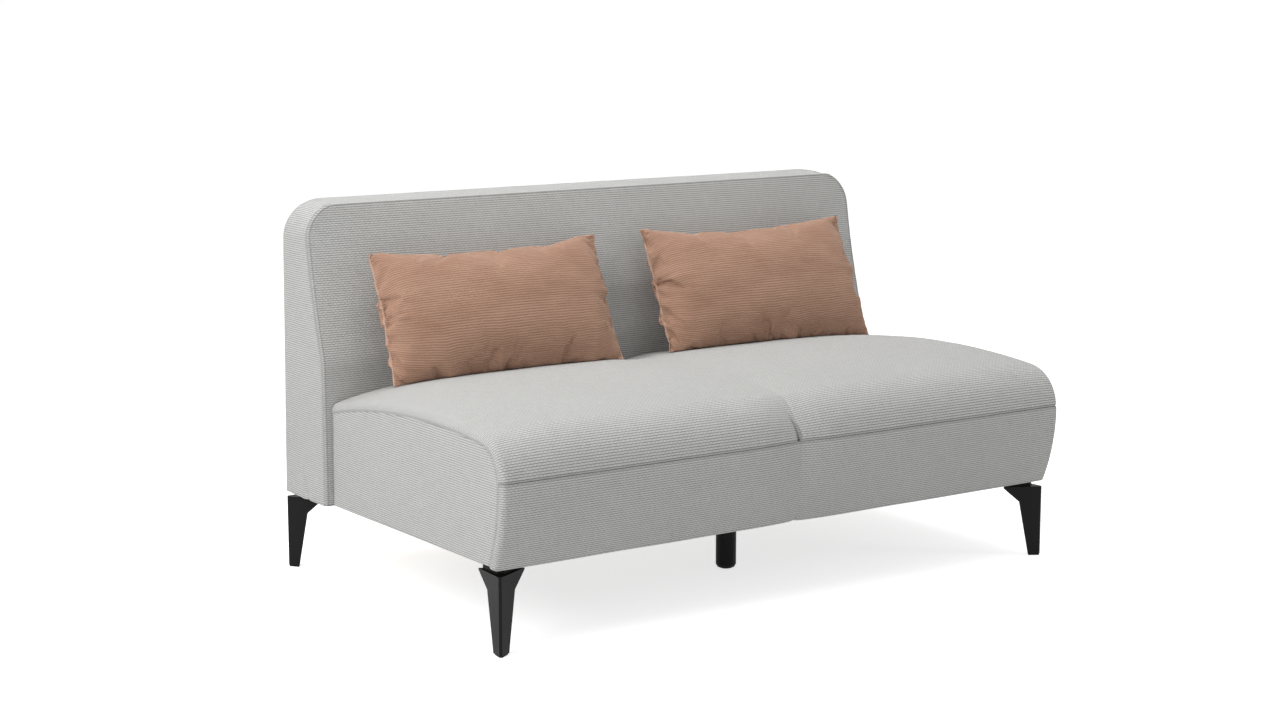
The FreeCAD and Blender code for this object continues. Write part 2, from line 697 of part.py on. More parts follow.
def arm_end(width, inner=False):
    """The corner at an arm's far edge, on its outer or its inner face, as x and y."""
    depth = "sizes.leg_plate" if inner else "0"
    x = f"({width} * cos(sizes.leg_half_angle) + {depth} * sin(sizes.leg_half_angle))"
    y = (f"({RIDGE_HALF} + {width} * sin(sizes.leg_half_angle)"
         f" - {depth} * cos(sizes.leg_half_angle))")
    return x, y


def turned(item, x, y, z, turn):
    """Stand a leg piece at its ridge and turn it about the upright."""
    item.Placement.Rotation = FreeCAD.Rotation(FreeCAD.Vector(0, 0, 1), 1)
    item.setExpression("Placement.Rotation.Angle", turn)
    place(item, x, y, z)
    return item


def leg_arm(name, side):
    """One flat arm of the fold: narrow at the foot, wider at the knee, flared at the top."""
    corners = [("0", "sizes.glide_height"), ("sizes.leg_foot_width", "sizes.glide_height"),
               ("sizes.leg_knee_width", "sizes.leg_knee_height"),
               ("sizes.leg_top_width", LEG_PLATE_BOTTOM), ("0", LEG_PLATE_BOTTOM)]
    body = doc.addObject("PartDesign::Body", name)
    sketch = outline(body, f"{name}_outline", corners, "XZ_Plane")
    plate = pad(body, sketch, "sizes.leg_plate")
    plate.Reversed = side < 0
    return turned(body, "0", f"({side} * {RIDGE_HALF})", "0", f"({side} * sizes.leg_half_angle)")


def leg_pegs(name, bottom, length, diameter="sizes.screw_diameter"):
    """Three upright pegs where a leg's screws go, in the leg's own directions."""
    first = "sizes.screw_first"
    second = "sizes.screw_second"
    aside = "sizes.screw_spread"
    spots = ((first, "0"), (second, aside), (second, f"(-{aside})"))
    return [peg(f"{name}_{index + 1}", x, y, bottom, diameter, length)
            for index, (x, y) in enumerate(spots)]


def leg(name, x, y, turn):
    """Two arms, the narrow ridge between them and a drilled top plate, in one piece."""
    arms = [leg_arm(f"{name}_arm_{word}", side) for word, side in (("a", 1), ("b", -1))]
    ridge = board(f"{name}_ridge", "0", f"(-{RIDGE_HALF})", "sizes.glide_height",
                  "sizes.leg_plate", "sizes.leg_ridge",
                  f"({LEG_PLATE_BOTTOM} - sizes.glide_height)")
    end_x, end_y = arm_end("sizes.leg_top_width")
    rim = [("0", RIDGE_HALF), (end_x, end_y), (end_x, f"(-{end_y})"), ("0", f"(-{RIDGE_HALF})")]
    plate = prism(f"{name}_plate", rim, "sizes.leg_top_plate")
    plate.setExpression("Placement.Base.z", LEG_PLATE_BOTTOM)
    fold = joined(f"{name}_fold", arms + [ridge, plate])
    holes = leg_pegs(f"{name}_hole", LEG_PLATE_BOTTOM, "sizes.leg_top_plate")
    return turned(drilled(f"leg_{name}", fold, holes), x, y, "0", turn)


def glide(name, x, y, turn):
    """A plastic shoe under the foot, a little smaller than the steel."""
    inset = "sizes.glide_inset"
    end_x, end_y = arm_end(f"(sizes.leg_foot_width - {inset})", inner=True)
    sole = [(inset, RIDGE_HALF), (end_x, end_y), (end_x, f"(-{end_y})"), (inset, f"(-{RIDGE_HALF})")]
    body = prism(f"glide_{name}", sole, "sizes.glide_height")
    return turned(body, x, y, "0", turn)


def spacer(name, x, y, turn, top):
    """A block between the leg's plate and the frame, set in from the corner."""
    near = "sizes.spacer_start"
    far = "sizes.spacer_end"
    corners = [(near, "(-sizes.spacer_front_half)"), (far, "(-sizes.spacer_rear_half)"),
               (far, "sizes.spacer_rear_half"), (near, "sizes.spacer_front_half")]
    height = f"({top} - sizes.leg_height)"
    block = prism(f"spacer_blank_{name}", corners, height)
    item = drilled(f"spacer_{name}", block, leg_pegs(f"spacer_hole_{name}", "0", height))
    return turned(item, x, y, "sizes.leg_height", turn)


def leg_screws():
    """The screws up through each leg's plate, and their shanks again as drills for the frame."""
    screws = []
    drills = {}
    for name, (x, y, turn, _) in LEGS.items():
        shanks = leg_pegs(f"screw_shank_{name}", LEG_PLATE_BOTTOM, "sizes.screw_length")
        heads = leg_pegs(f"screw_head_{name}", f"({LEG_PLATE_BOTTOM} - sizes.screw_head_height)",
                         "sizes.screw_head_height", "sizes.screw_head_diameter")
        pairs = [joined(f"screw_{name}_{index + 1}", pair)
                 for index, pair in enumerate(zip(shanks, heads))]
        screws.append(turned(group(f"screws_{name}", pairs), x, y, "0", turn))
        tools = leg_pegs(f"drill_{name}", LEG_PLATE_BOTTOM, "sizes.screw_length")
        drills[name] = turned(group(f"drills_{name}", tools), x, y, "0", turn)
    return group("leg_screws", screws), drills


# Centre leg

CENTRE_LEG_Y = f"({FRONT} + sizes.centre_leg_setback)"


def centre_leg_parts():
    """A round leg with a rounded foot, its stud, and the block that takes the stud."""
    radius = "(sizes.centre_leg_diameter / 2)"
    step = "sizes.centre_leg_foot_step"
    rounding = "sizes.centre_leg_foot_round"
    profile = [("0", "0"), (f"({radius} - {rounding})", "0"), (f"({radius} - {step})", step),
               (radius, rounding), (radius, DUST_BOTTOM), ("0", DUST_BOTTOM)]
    body = doc.addObject("PartDesign::Body", "centre_leg_body")
    sketch = outline(body, "centre_leg_outline", profile, "XZ_Plane")
    turning = body.newObject("PartDesign::Revolution", "centre_leg_turning")
    turning.Profile = sketch
    turning.ReferenceAxis = (sketch, ["V_Axis"])
    turning.Angle = 360
    x = "sizes.centre_leg_offset"
    place(body, x, CENTRE_LEG_Y, "0")
    stud_start = f"({DUST_BOTTOM} - sizes.stud_length / 2)"
    stud = peg("centre_leg_stud", x, CENTRE_LEG_Y, stud_start, "sizes.stud_diameter",
               "sizes.stud_length")
    socket = peg("centre_leg_socket", x, CENTRE_LEG_Y, stud_start, "sizes.stud_diameter",
                 "sizes.stud_length")
    column_drilled = drilled("centre_leg", body, [socket])
    half = "(sizes.centre_block_width / 2)"
    blank = board("centre_block_blank", "(sizes.rail_thickness / 2)", f"({CENTRE_LEG_Y} - {half})",
                  FRAME_BOTTOM, "sizes.centre_block_width", "sizes.centre_block_width",
                  "sizes.centre_block_height")
    block_drill = peg("centre_block_drill", x, CENTRE_LEG_Y, stud_start, "sizes.stud_diameter",
                      "sizes.stud_length")
    block = drilled("centre_leg_block", blank, [block_drill])
    return column_drilled, stud, block


def dust_cover(drills):
    """The black cloth under the seat frame, pierced by the screws and the stud."""
    blank = board("dust_cover_blank", f"-{FRAME_HALF}", FRAME_FRONT, DUST_BOTTOM,
                  f"(2 * {FRAME_HALF})", f"({FRAME_REAR} - {FRAME_FRONT})",
                  "sizes.dust_cover_thickness")
    stud_hole = peg("dust_cover_stud_hole", "sizes.centre_leg_offset", CENTRE_LEG_Y,
                    f"({DUST_BOTTOM} - sizes.frame_lift)", "sizes.stud_diameter",
                    "(2 * sizes.frame_lift + sizes.dust_cover_thickness)")
    return drilled("seat_dust_cover", blank, [stud_hole] + drills)


# Pillows: a plump form with thin, drawn-in edges, leaning on the back

def lens(low, high, bulge, run):
    """A prism between two shallow arcs that meet at low and high."""
    middle = (low + high) / 2
    face = Part.Face(closed_section([Part.Arc(low, middle + bulge, high),
                                     Part.Arc(high, middle - bulge, low)]))
    return face.extrude(run)


def pillow_plan(half, thick, tall):
    """The pillow seen from above: flat in the middle and rounded fast to both thin ends."""
    edge = number("sizes.pillow_edge") / 2
    run = number("sizes.pillow_end_run")
    rise = number("sizes.pillow_end_rise") * thick / (number("sizes.pillow_thickness") / 2)

    def point(x, y):
        return FreeCAD.Vector(x, y, -tall)

    edges = []
    for side in (1, -1):
        end, shoulder = point(-side * half, side * edge), point(-side * (half - run), side * rise)
        far_shoulder, far_end = point(side * (half - run), side * rise), point(side * half, side * edge)
        bend = point(-side * (half - run * 0.62), side * rise * 0.72)
        far_bend = point(side * (half - run * 0.62), side * rise * 0.72)
        edges += [Part.Arc(end, bend, shoulder),
                  Part.Arc(shoulder, point(0, side * thick), far_shoulder),
                  Part.Arc(far_shoulder, far_bend, far_end),
                  Part.LineSegment(far_end, point(side * half, -side * edge))]
    return Part.Face(closed_section(edges)).extrude(FreeCAD.Vector(0, 0, 2 * tall))


def pillow_outline(half, tall, thick):
    """The pillow seen from the front: four corners joined by drawn-in edges."""
    pull = number("sizes.pillow_pull_in")
    corners = [(-half, -tall), (half, -tall), (half, tall), (-half, tall)]
    middles = [(0, pull - tall), (half - pull / 2, 0), (0, tall - pull), (pull / 2 - half, 0)]

    def point(spot):
        return FreeCAD.Vector(spot[0], -thick, spot[1])

    edges = [Part.Arc(point(start), point(middle), point(end))
             for start, middle, end in zip(corners, middles, corners[1:] + corners[:1])]
    return Part.Face(closed_section(edges)).extrude(FreeCAD.Vector(0, 2 * thick, 0))


def pillow_form(inset):
    """A thin-edged pillow: what its three views, each padded through, have in common."""
    half = number("sizes.pillow_length") / 2 - 2 * inset
    tall = number("sizes.pillow_height") / 2 - 2 * inset
    thick = number("sizes.pillow_thickness") / 2 - inset
    over = number("sizes.pillow_edge") / 2
    side = lens(FreeCAD.Vector(-half - thick, 0, -tall - over),
                FreeCAD.Vector(-half - thick, 0, tall + over),
                FreeCAD.Vector(0, thick, 0), FreeCAD.Vector(2 * (half + thick), 0, 0))
    plan = pillow_plan(half + over, thick, tall + thick)
    return side.common(plan).common(pillow_outline(half, tall, 2 * thick)).Solids[0]


def pillow_placement(offset, seat, back):
    """Lean a pillow: lower it to the seat and push it to the back until both just touch."""
    gap = number("sizes.soft_gap")
    form = pillow_form(0.0)
    place_now = FreeCAD.Placement(
        FreeCAD.Vector(offset, number(SEAT_REAR) - number("sizes.pillow_thickness"),
                       number("sizes.seat_height") + number("sizes.pillow_height") / 2
                       + number("sizes.pillow_lift_in")),
        FreeCAD.Rotation(FreeCAD.Vector(1, 0, 0), -number("sizes.pillow_lean")))
    near_seat = seat.common(everything(low_y=0.0, low_z=number("sizes.nose_height")))
    near_back = back.common(everything(low_z=number("sizes.nose_height"),
                                       high_y=number(REAR) - number("sizes.back_top_thickness")))
    for _ in range(40):
        form.Placement = place_now
        down = form.distToShape(near_seat)[0] - gap
        form.Placement = FreeCAD.Placement(place_now.Base - FreeCAD.Vector(0, 0, down),
                                           place_now.Rotation)
        away = form.distToShape(near_back)[0] - gap
        place_now = FreeCAD.Placement(form.Placement.Base + FreeCAD.Vector(0, 0.9 * away, 0),
                                      place_now.Rotation)
        if down + away < 0.05:
            break
    return place_now


def pillow(name, offset, seat, back):
    """The sewn cover and the filling inside it."""
    placement = pillow_placement(offset, seat, back)
    thick = number("sizes.cover_thickness")
    skin = frozen(f"pillow_{name}_cover", pillow_form(0.0).cut(pillow_form(thick)))
    filling = frozen(f"pillow_{name}_filling", pillow_form(number(SKIN)))
    for item in (skin, filling):
        item.Placement = placement
        keep(item, item.Name)


# Assembly of the nodes

screws, drills = leg_screws()
front_rail, rear_rail, left_rail, right_rail, centre_rail = rails()
for blank, name, corners in ((front_rail, "seat_front_rail", ("front_left", "front_right")),
                             (left_rail, "seat_side_rail_left", ("front_left",)),
                             (right_rail, "seat_side_rail_right", ("front_right",))):
    keep(drilled(name, blank, [drills[corner] for corner in corners]), name)
keep(drilled("seat_rear_rail", rear_rail, bolt_holes("rear_rail")), "seat_rear_rail")
keep(centre_rail, "seat_centre_rail")
keep(corner_blocks(), "seat_corner_blocks")
keep(long_straps(), "seat_straps_long")
keep(cross_straps(), "seat_straps_cross")
felt = board("seat_felt", f"-{FRAME_HALF}", FRAME_FRONT, FELT_BOTTOM, f"(2 * {FRAME_HALF})",
             f"({FRAME_REAR} - {FRAME_FRONT})", "sizes.felt_thickness")
keep(felt, "seat_felt")
for item in seat_soft_parts():
    keep(item, item.Name)
for name, shape in seat_covers().items():
    item = frozen(f"{name}_panel", shape)
    if name == "seat_rear_cover":
        item = drilled(name, item, bolt_holes(name))
    keep(item, name)
keep(dust_cover([drills["front_left"], drills["front_right"]]), "seat_dust_cover")

keep(back_side_board("back_side_board_left", f"(-{BACK_FRAME_HALF})"), "back_side_board_left")
keep(back_side_board("back_side_board_right", BACK_INNER_HALF), "back_side_board_right")
keep(raked_rail("back_top_rail", BACK_TOP_RAIL_LOW, BACK_FRAME_TOP,
                "sizes.back_top_rail_thickness"), "back_top_rail")
keep(raked_rail("back_middle_rail", RAKE_BOTTOM_Z, BACK_MIDDLE_RAIL_TOP,
                "sizes.rail_thickness"), "back_middle_rail")
base_top = f"({FRAME_BOTTOM} + sizes.board_thickness)"
base = board("back_base_blank", f"-{BACK_INNER_HALF}", BACK_FRAME_FRONT, FRAME_BOTTOM,
             f"(2 * {BACK_INNER_HALF})", f"({rear_y(base_top)} - {BACK_FRAME_FRONT})",
             "sizes.board_thickness")
keep(drilled("back_base_board", base, [drills["rear_left"], drills["rear_right"]]),
     "back_base_board")
bottom_rail = board("back_bottom_rail_blank", f"-{BACK_INNER_HALF}", BACK_FRAME_FRONT, base_top,
                    f"(2 * {BACK_INNER_HALF})", "sizes.rail_thickness",
                    f"(sizes.back_foam_start - {base_top})")
keep(drilled("back_bottom_rail", bottom_rail, bolt_holes("bottom_rail")), "back_bottom_rail")
keep(back_straps(), "back_straps")
for item in back_soft_parts():
    keep(item, item.Name)
for name, shape in back_covers().items():
    item = frozen(f"{name}_panel", shape)
    if name == "back_front_cover":
        item = drilled(name, item, bolt_holes(name))
    keep(item, name)

bolts, nuts = unit_bolts()
keep(bolts, "unit_bolts")
keep(nuts, "unit_nuts")

glides = []
spacers = []
for name, (x, y, turn, top) in LEGS.items():
    keep(leg(name, x, y, turn), f"leg_{name}")
    glides.append(glide(name, x, y, turn))
    spacers.append(spacer(name, x, y, turn, top))
keep(group("leg_glides", glides), "leg_glides")
keep(group("leg_spacers", spacers), "leg_spacers")
keep(screws, "leg_screws")
centre_leg, stud, centre_block = centre_leg_parts()
keep(centre_leg, "centre_leg")
keep(stud, "centre_leg_stud")
keep(centre_block, "centre_leg_block")
doc.recompute()

seat_outer = seat_form(0.0, number(SEAT_REAR), number("sizes.underside_height"))
back_outer = back_form(0.0, number("sizes.underside_height"))
pillow("left", -number("sizes.pillow_left_offset"), seat_outer, back_outer)
pillow("right", number("sizes.pillow_right_offset"), seat_outer, back_outer)
doc.recompute()


def check(item):
    """Stop on a failed object or an unsound shape."""
    if {"Invalid", "Error"} & set(item.State):
        raise RuntimeError(f"{item.Label}: {item.State}")


for item in doc.Objects:
    check(item)
os.makedirs("parts", exist_ok=True)
for item in nodes:
    shape = item.Shape
    if shape.isNull() or not shape.isValid() or not shape.Solids:
        raise RuntimeError(f"{item.Label}: no sound solid")
    shape.exportStep(f"parts/{item.Label}.step")
    print(f"{item.Label}: {len(shape.Solids)} solids, {shape.Volume / 1000:.1f} cm3")
print(len(nodes), "nodes")
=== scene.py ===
# %% [markdown]
# An armless two-seat sofa, dressed for its portrait.
#
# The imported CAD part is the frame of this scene: rails, boards, straps, legs and screws keep
# their shape and only get a finish. What is soft on the real sofa is made anew here: the seat
# and back upholstery as surfaces worked out with numpy, and the two pillows as sewn bags that
# a cloth simulation blows up.

import json
import math

import bmesh
import bpy
import numpy as np
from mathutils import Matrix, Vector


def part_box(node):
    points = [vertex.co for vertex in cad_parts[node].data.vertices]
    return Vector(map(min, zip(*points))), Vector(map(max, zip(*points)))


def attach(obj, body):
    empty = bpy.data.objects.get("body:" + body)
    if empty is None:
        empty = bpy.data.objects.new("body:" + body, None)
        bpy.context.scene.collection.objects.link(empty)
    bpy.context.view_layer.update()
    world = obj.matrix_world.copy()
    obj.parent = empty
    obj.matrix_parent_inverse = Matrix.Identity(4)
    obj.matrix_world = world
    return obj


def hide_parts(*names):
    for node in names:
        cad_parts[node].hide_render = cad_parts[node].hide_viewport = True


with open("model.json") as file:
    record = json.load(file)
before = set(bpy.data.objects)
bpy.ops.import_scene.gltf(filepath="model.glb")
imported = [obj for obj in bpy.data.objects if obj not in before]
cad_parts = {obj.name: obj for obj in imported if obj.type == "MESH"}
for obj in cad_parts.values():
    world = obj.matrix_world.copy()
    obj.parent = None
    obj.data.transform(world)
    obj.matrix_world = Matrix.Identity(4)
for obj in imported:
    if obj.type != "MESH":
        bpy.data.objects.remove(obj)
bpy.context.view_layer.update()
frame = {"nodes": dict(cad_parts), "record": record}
print("nodes:", len(frame["nodes"]))

# %% [markdown]
# The photograph's viewpoint was worked out from the sofa's own straight edges: a long lens at
# chest height, a little to the sofa's left. The camera comes first, so that every later piece
# can be looked at in the same frame.
# It could be placed by eye, but then every proportion would be judged from a wrong place.

# %% The camera
CAMERA_PLACE = (-2.8173, -3.9964, 1.2668)
CAMERA_TURN = math.radians(-34.24)
CAMERA_TILT = math.radians(90 - 9.56)
SENSOR_WIDTH = 36.0
FOCAL_LENGTH = 64.93

camera = bpy.data.objects.new("camera", bpy.data.cameras.new("camera"))
camera.location = CAMERA_PLACE
camera.rotation_euler = (CAMERA_TILT, 0.0, CAMERA_TURN)
camera.data.sensor_width = SENSOR_WIDTH
camera.data.lens = FOCAL_LENGTH
bpy.context.scene.collection.objects.link(camera)
bpy.context.scene.camera = camera
print("lens, mm:", camera.data.lens)

# %% [markdown]
# All upholstery is measured in metres in the CAD's frame: x to the right as one faces the
# sofa, y to the back, z up. These are the sizes of its forms, the same as the CAD's.
# They could be read off the loaded nodes, but named sizes read like a cutting list.

# %% Sizes of the upholstery
SEAT_HALF = 0.702        # half the seat's width
SEAT_FRONT = -0.440
SEAT_REAR = 0.248        # where seat and back meet
UNDERSIDE = 0.167
FOAM_FLOOR = 0.309       # the deck under the seat's foam
SIDE_ROUND = 0.013       # radius on which the seat's cloth turns down at its ends
SIDE_WRAP = 0.004        # its straight stretch from there to the seam
BACK_HALF = 0.720
BACK_REAR = 0.440
BACK_LEAN = 0.018        # how far the rear leans forward on its way up
BACK_TOP = 0.795
BACK_BEND = 0.470        # where the front begins to lean back
BACK_TOP_FRONT = 0.317   # y of the front's upper edge
BACK_LIP = 0.787         # and its height
CORNER_RADIUS = 0.080
print("seat and back, mm:", 2000 * SEAT_HALF, 2000 * BACK_HALF)

# %% [markdown]
# Every new piece is a grid of points with a UV map in metres, so that the weave has one scale on
# all panels. A second UV map says how far a point lies along a seam and away from it, and the
# cloth's material draws the stitches and paints the shade of the seam's dip from that.
# Bent and bevelled boxes would be quicker to set up. Grids worked out with numpy put a point
# exactly where a seam needs one, and all pieces go through the same two helpers.

# %% Helpers that turn arrays into meshes
WELD = 1e-6
FAR = 9.0    # what a point stores that has no seam near it


def as_mesh(name, points, quads, uv, seam=None):
    """A mesh object from points (n, 3), quads (m, 4) and UV maps (n, 2), turned so that the
    volume, a sixth of the sum of each triangle's a . (b x c), comes out positive."""
    a, b, c, d = (points[quads[:, k]] for k in range(4))
    volume = np.einsum("ij,ij->i", a, np.cross(b, c) + np.cross(c, d)).sum() / 6
    if volume < 0:
        quads = quads[:, ::-1]
    mesh = bpy.data.meshes.new(name)
    mesh.from_pydata(points.tolist(), [], quads.tolist())
    mesh.update()
    order = np.empty(len(mesh.loops), dtype=np.int32)
    mesh.loops.foreach_get("vertex_index", order)
    for label, values in (("cloth", uv), ("seam", seam)):
        if values is not None:
            layer = mesh.uv_layers.new(name=label)
            layer.data.foreach_set("uv", values[order].astype(np.float32).ravel())
    weld = bmesh.new()
    weld.from_mesh(mesh)
    bmesh.ops.remove_doubles(weld, verts=weld.verts, dist=WELD)
    weld.to_mesh(mesh)
    weld.free()
    mesh.shade_smooth()
    piece = bpy.data.objects.new(name, mesh)
    bpy.context.scene.collection.objects.link(piece)
    print(f"{name}: {len(quads)} quads, {abs(volume) * 1000:.2f} litres")
    return piece


def closed_pad(name, outer, inner, uv, seam=None, wrap=False):
    """A closed pad from two grids (rows, columns, 3) of one size: the outer one, the inner one
    turned round, and strips of quads that join their borders. With wrap the columns close."""
    rows, cols = outer.shape[:2]
    index = np.arange(rows * cols).reshape(rows, cols)
    if wrap:
        index = np.concatenate([index, index[:, :1]], axis=1)
    top = np.stack([index[:-1, :-1], index[1:, :-1], index[1:, 1:], index[:-1, 1:]], -1)
    top = top.reshape(-1, 4)
    under = top[:, ::-1] + rows * cols
    borders = [index[0, :], index[-1, ::-1]]
    if not wrap:
        borders += [index[::-1, 0], index[:, -1]]
    strips = [np.stack([line[:-1], line[1:], line[1:] + rows * cols, line[:-1] + rows * cols], -1)
              for line in borders]
    quads = np.concatenate([top, under] + strips)
    points = np.concatenate([outer.reshape(-1, 3), inner.reshape(-1, 3)])
    uv = np.concatenate([uv.reshape(-1, 2)] * 2)
    far = np.full_like(uv, FAR)
    seam = far if seam is None else np.concatenate([seam.reshape(-1, 2), far[:rows * cols]])
    return as_mesh(name, points, quads, uv, seam)


def normals_of(points):
    """Unit normals of a grid: the cross product of its steps along rows and columns."""
    along_rows = np.gradient(points, axis=0)
    along_cols = np.gradient(points, axis=1)
    cross = np.cross(along_rows, along_cols)
    return cross / np.maximum(np.linalg.norm(cross, axis=-1, keepdims=True), 1e-12)


def lengths(points, axis):
    """Running length along one direction of a grid."""
    step = np.linalg.norm(np.diff(points, axis=axis), axis=-1)
    start = np.zeros_like(np.take(step, [0], axis=axis))
    return np.concatenate([start, np.cumsum(step, axis=axis)], axis=axis)


def through_three(a, b, c, share):
    """Points of the circle arc from a through b to c, at shares 0 to 1 of its angle. The
    centre is where the perpendicular bisectors of ab and bc meet."""
    (ax, ay), (bx, by), (cx, cy) = (np.moveaxis(p, -1, 0) for p in (a, b, c))
    scale = 2 * (ax * (by - cy) + bx * (cy - ay) + cx * (ay - by))
    qa, qb, qc = ax**2 + ay**2, bx**2 + by**2, cx**2 + cy**2
    mx = (qa * (by - cy) + qb * (cy - ay) + qc * (ay - by)) / scale
    my = (qa * (cx - bx) + qb * (ax - cx) + qc * (bx - ax)) / scale
    radius = np.hypot(ax - mx, ay - my)
    start = np.arctan2(ay - my, ax - mx)
    middle = np.arctan2(by - my, bx - mx)
    end = np.arctan2(cy - my, cx - mx)
    turn = 2 * np.pi
    forward = (end - start) % turn
    sweep = np.where((middle - start) % turn < forward, forward, forward - turn)
    angle = start[:, None] + sweep[:, None] * share
    return np.stack([mx[:, None] + radius[:, None] * np.cos(angle),
                     my[:, None] + radius[:, None] * np.sin(angle)], -1)


def waves(u, v, seed, count, shortest, longest):
    """A gentle unevenness: the mean of seeded plane cosine waves of random length and heading."""
    rng = np.random.default_rng(seed)
    total = np.zeros(np.broadcast(u, v).shape)
    for _ in range(count):
        length = rng.uniform(shortest, longest)
        heading, phase = rng.uniform(0, 2 * np.pi, 2)
        total += np.cos(2 * np.pi * (u * np.cos(heading) + v * np.sin(heading)) / length + phase)
    return total / count


def hump(value, width):
    """A bell: e to the power of minus (value / width) squared."""
    return np.exp(-(value / width) ** 2)


# %% [markdown]
# The seat's cover is a long wrap over foam, sewn to a flat panel at each end. Its side view is
# three arcs: up the front, round the shoulder and over the crowned top. Across the sofa the
# arcs' points sink towards both ends, and a stitched tuck at the middle pulls them in.
# A subdivided box could give a rough cushion. Arcs through named points follow the
# photograph's outline closely and stay on the CAD's own forms.

# %% The seat's side view, for any place across the sofa
FOOT = (0.035, UNDERSIDE)    # each point's place behind the seat's front, and its height
CHIN = (0.011, 0.235)
NOSE = (0.0, 0.338)
BROW = (0.018, 0.393)
SHOULDER = (0.075, 0.430)
CROWN = (0.340, 0.452)
REAR = (SEAT_REAR - SEAT_FRONT, 0.416)
TUCK_DEPTH = 0.017


def seat_sections(x, count_front, count_shoulder, count_top):
    """Side view (y, z) at each x as points through three arcs. The top's drop at the ends
    grows with the twelfth power of x, the rear's with the sixth; the tuck is a wide bell with
    a narrow fold in its middle. Points lie closer together on both sides of the front seam."""
    across = np.abs(x / SEAT_HALF)
    tuck = TUCK_DEPTH * (0.7 * hump(x, 0.050) + 0.3 * np.exp(-np.abs(x) / 0.011))
    shoulder_drop = 0.012 * across**12
    top_drop = 0.026 * across**12 + 0.006 * hump(x, 0.110)
    rear_drop = 0.036 * across**6 + 0.012 * hump(x, 0.055)

    def spot(point, back=0.0, down=0.0):
        """(y, z) at each x of a point of the side view, moved back and down."""
        y, z, _ = np.broadcast_arrays(SEAT_FRONT + point[0] + back, point[1] - down, x)
        return np.stack([y, z], -1)

    foot = spot(FOOT, 0.25 * tuck)
    chin = spot(CHIN, 0.40 * tuck)
    nose = spot(NOSE, 0.75 * tuck)
    brow = spot(BROW, 0.85 * tuck, 0.6 * shoulder_drop + 0.7 * tuck)
    shoulder = spot(SHOULDER, 0.1 * tuck, shoulder_drop + 0.55 * tuck)
    crown = spot(CROWN, down=top_drop)
    rear = spot(REAR, down=rear_drop)
    front = through_three(foot, chin, nose, 1 - (1 - np.linspace(0, 1, count_front)) ** 1.8)
    over = through_three(nose, brow, shoulder, np.linspace(0, 1, count_shoulder) ** 1.6)
    top = through_three(shoulder, crown, rear, np.linspace(0, 1, count_top))
    return np.concatenate([front, over[:, 1:], top[:, 1:]], axis=1)


# %% [markdown]
# At its two ends the wrap turns down round a small radius before it meets the end panel. So
# a place across the wrap is told by a running length: flat first, then round a quarter circle,
# then a few millimetres straight down to the seam.
# A bevel would round the edge too, but here the cloth's own length is known at every point,
# and that is what keeps the weave's scale and leads the seams.

# %% The wrap over front and top, ends turned down
END_PACKING = 0.8


def wrap_stations(count):
    """Running lengths from end to end, packed closer at both ends and at the tuck: even shares
    less a sine that goes through zero at the ends and the middle."""
    full = SEAT_HALF - SIDE_ROUND + SIDE_ROUND * np.pi / 2 + SIDE_WRAP
    share = np.linspace(-1, 1, count)
    packed = share - END_PACKING * np.sin(2 * np.pi * share) / (2 * np.pi)
    return packed / packed[-1] * full


def over_the_edge(run):
    """x, and how far the cloth has sunk below the flat, at a running length from the middle:
    r sin(a) outwards and r (1 - cos(a)) down for the angle a = (run - flat) / r."""
    flat = SEAT_HALF - SIDE_ROUND
    past = np.maximum(np.abs(run) - flat, 0)
    angle = np.minimum(past / SIDE_ROUND, np.pi / 2)
    x = np.minimum(np.abs(run), flat) + SIDE_ROUND * np.sin(angle)
    sunk = SIDE_ROUND * (1 - np.cos(angle)) + np.maximum(past - SIDE_ROUND * np.pi / 2, 0)
    return np.sign(run) * x, sunk


def in_plane_normals(section):
    """Normals of side-view curves: each tangent (y, z) turned a quarter, pointing outwards."""
    tangent = np.gradient(section, axis=1)
    tangent /= np.linalg.norm(tangent, axis=-1, keepdims=True)
    return np.stack([-tangent[..., 1], tangent[..., 0]], -1)


def row_mean(values, reach):
    """Running mean of unit vectors over neighbouring rows, so that the turned-down ends don't
    fold at the front seam."""
    padded = np.pad(values, ((0, 0), (reach + 1, reach), (0, 0)), mode="edge")
    total = np.cumsum(padded, axis=1)
    mean = total[:, 2 * reach + 1:] - total[:, :-2 * reach - 1]
    return mean / np.linalg.norm(mean, axis=-1, keepdims=True)


MIDDLE = 165           # the wrap's column on the sofa's middle
FRONT_ROWS, SHOULDER_ROWS, TOP_ROWS = 44, 52, 93
SMOOTHING = 14         # rows to each side that even out the way in which the ends sink

runs = wrap_stations(2 * MIDDLE + 1)
station_x, station_sunk = over_the_edge(runs)
section = seat_sections(station_x, FRONT_ROWS, SHOULDER_ROWS, TOP_ROWS)
normal = row_mean(in_plane_normals(section), SMOOTHING)
wrapped = section - station_sunk[:, None, None] * normal
wrap_x = np.broadcast_to(station_x[:, None, None], wrapped[..., :1].shape)
sofa_wrap = np.concatenate([wrap_x, wrapped], axis=-1)
seam_row = FRONT_ROWS - 1
last_row = sofa_wrap.shape[1] - 1
girth = lengths(sofa_wrap[MIDDLE:MIDDLE + 1], 1)[0]
print("girth of the wrap, mm:", round(girth[-1] * 1000), "seam at", round(girth[seam_row] * 1000))

# %% [markdown]
# A seam draws the cloth in: both panels dip towards it over a few millimetres, and the stitches
# pull faint ripples into the cloth beside it. The material is told the distance from a seam as
# well, so that it can paint shade along the seam's dip and draw stitches where there are any.
# Seams could be sculpted one by one. A formula of the distance gives them all the same hand.

# %% Seam dips and stitch ripples
PLAIN_REACH = 0.0045     # how far from a plain seam the material is told of it
PLAIN_OFFSET = 0.0012    # added to that distance, which paints the seam's shade line fainter


def seam_dip(distance, depth=0.0026, width=0.0019):
    """How far cloth sinks at a distance from a seam: e to the power of minus distance / width,
    times the depth."""
    return depth * np.exp(-np.abs(distance) / width)


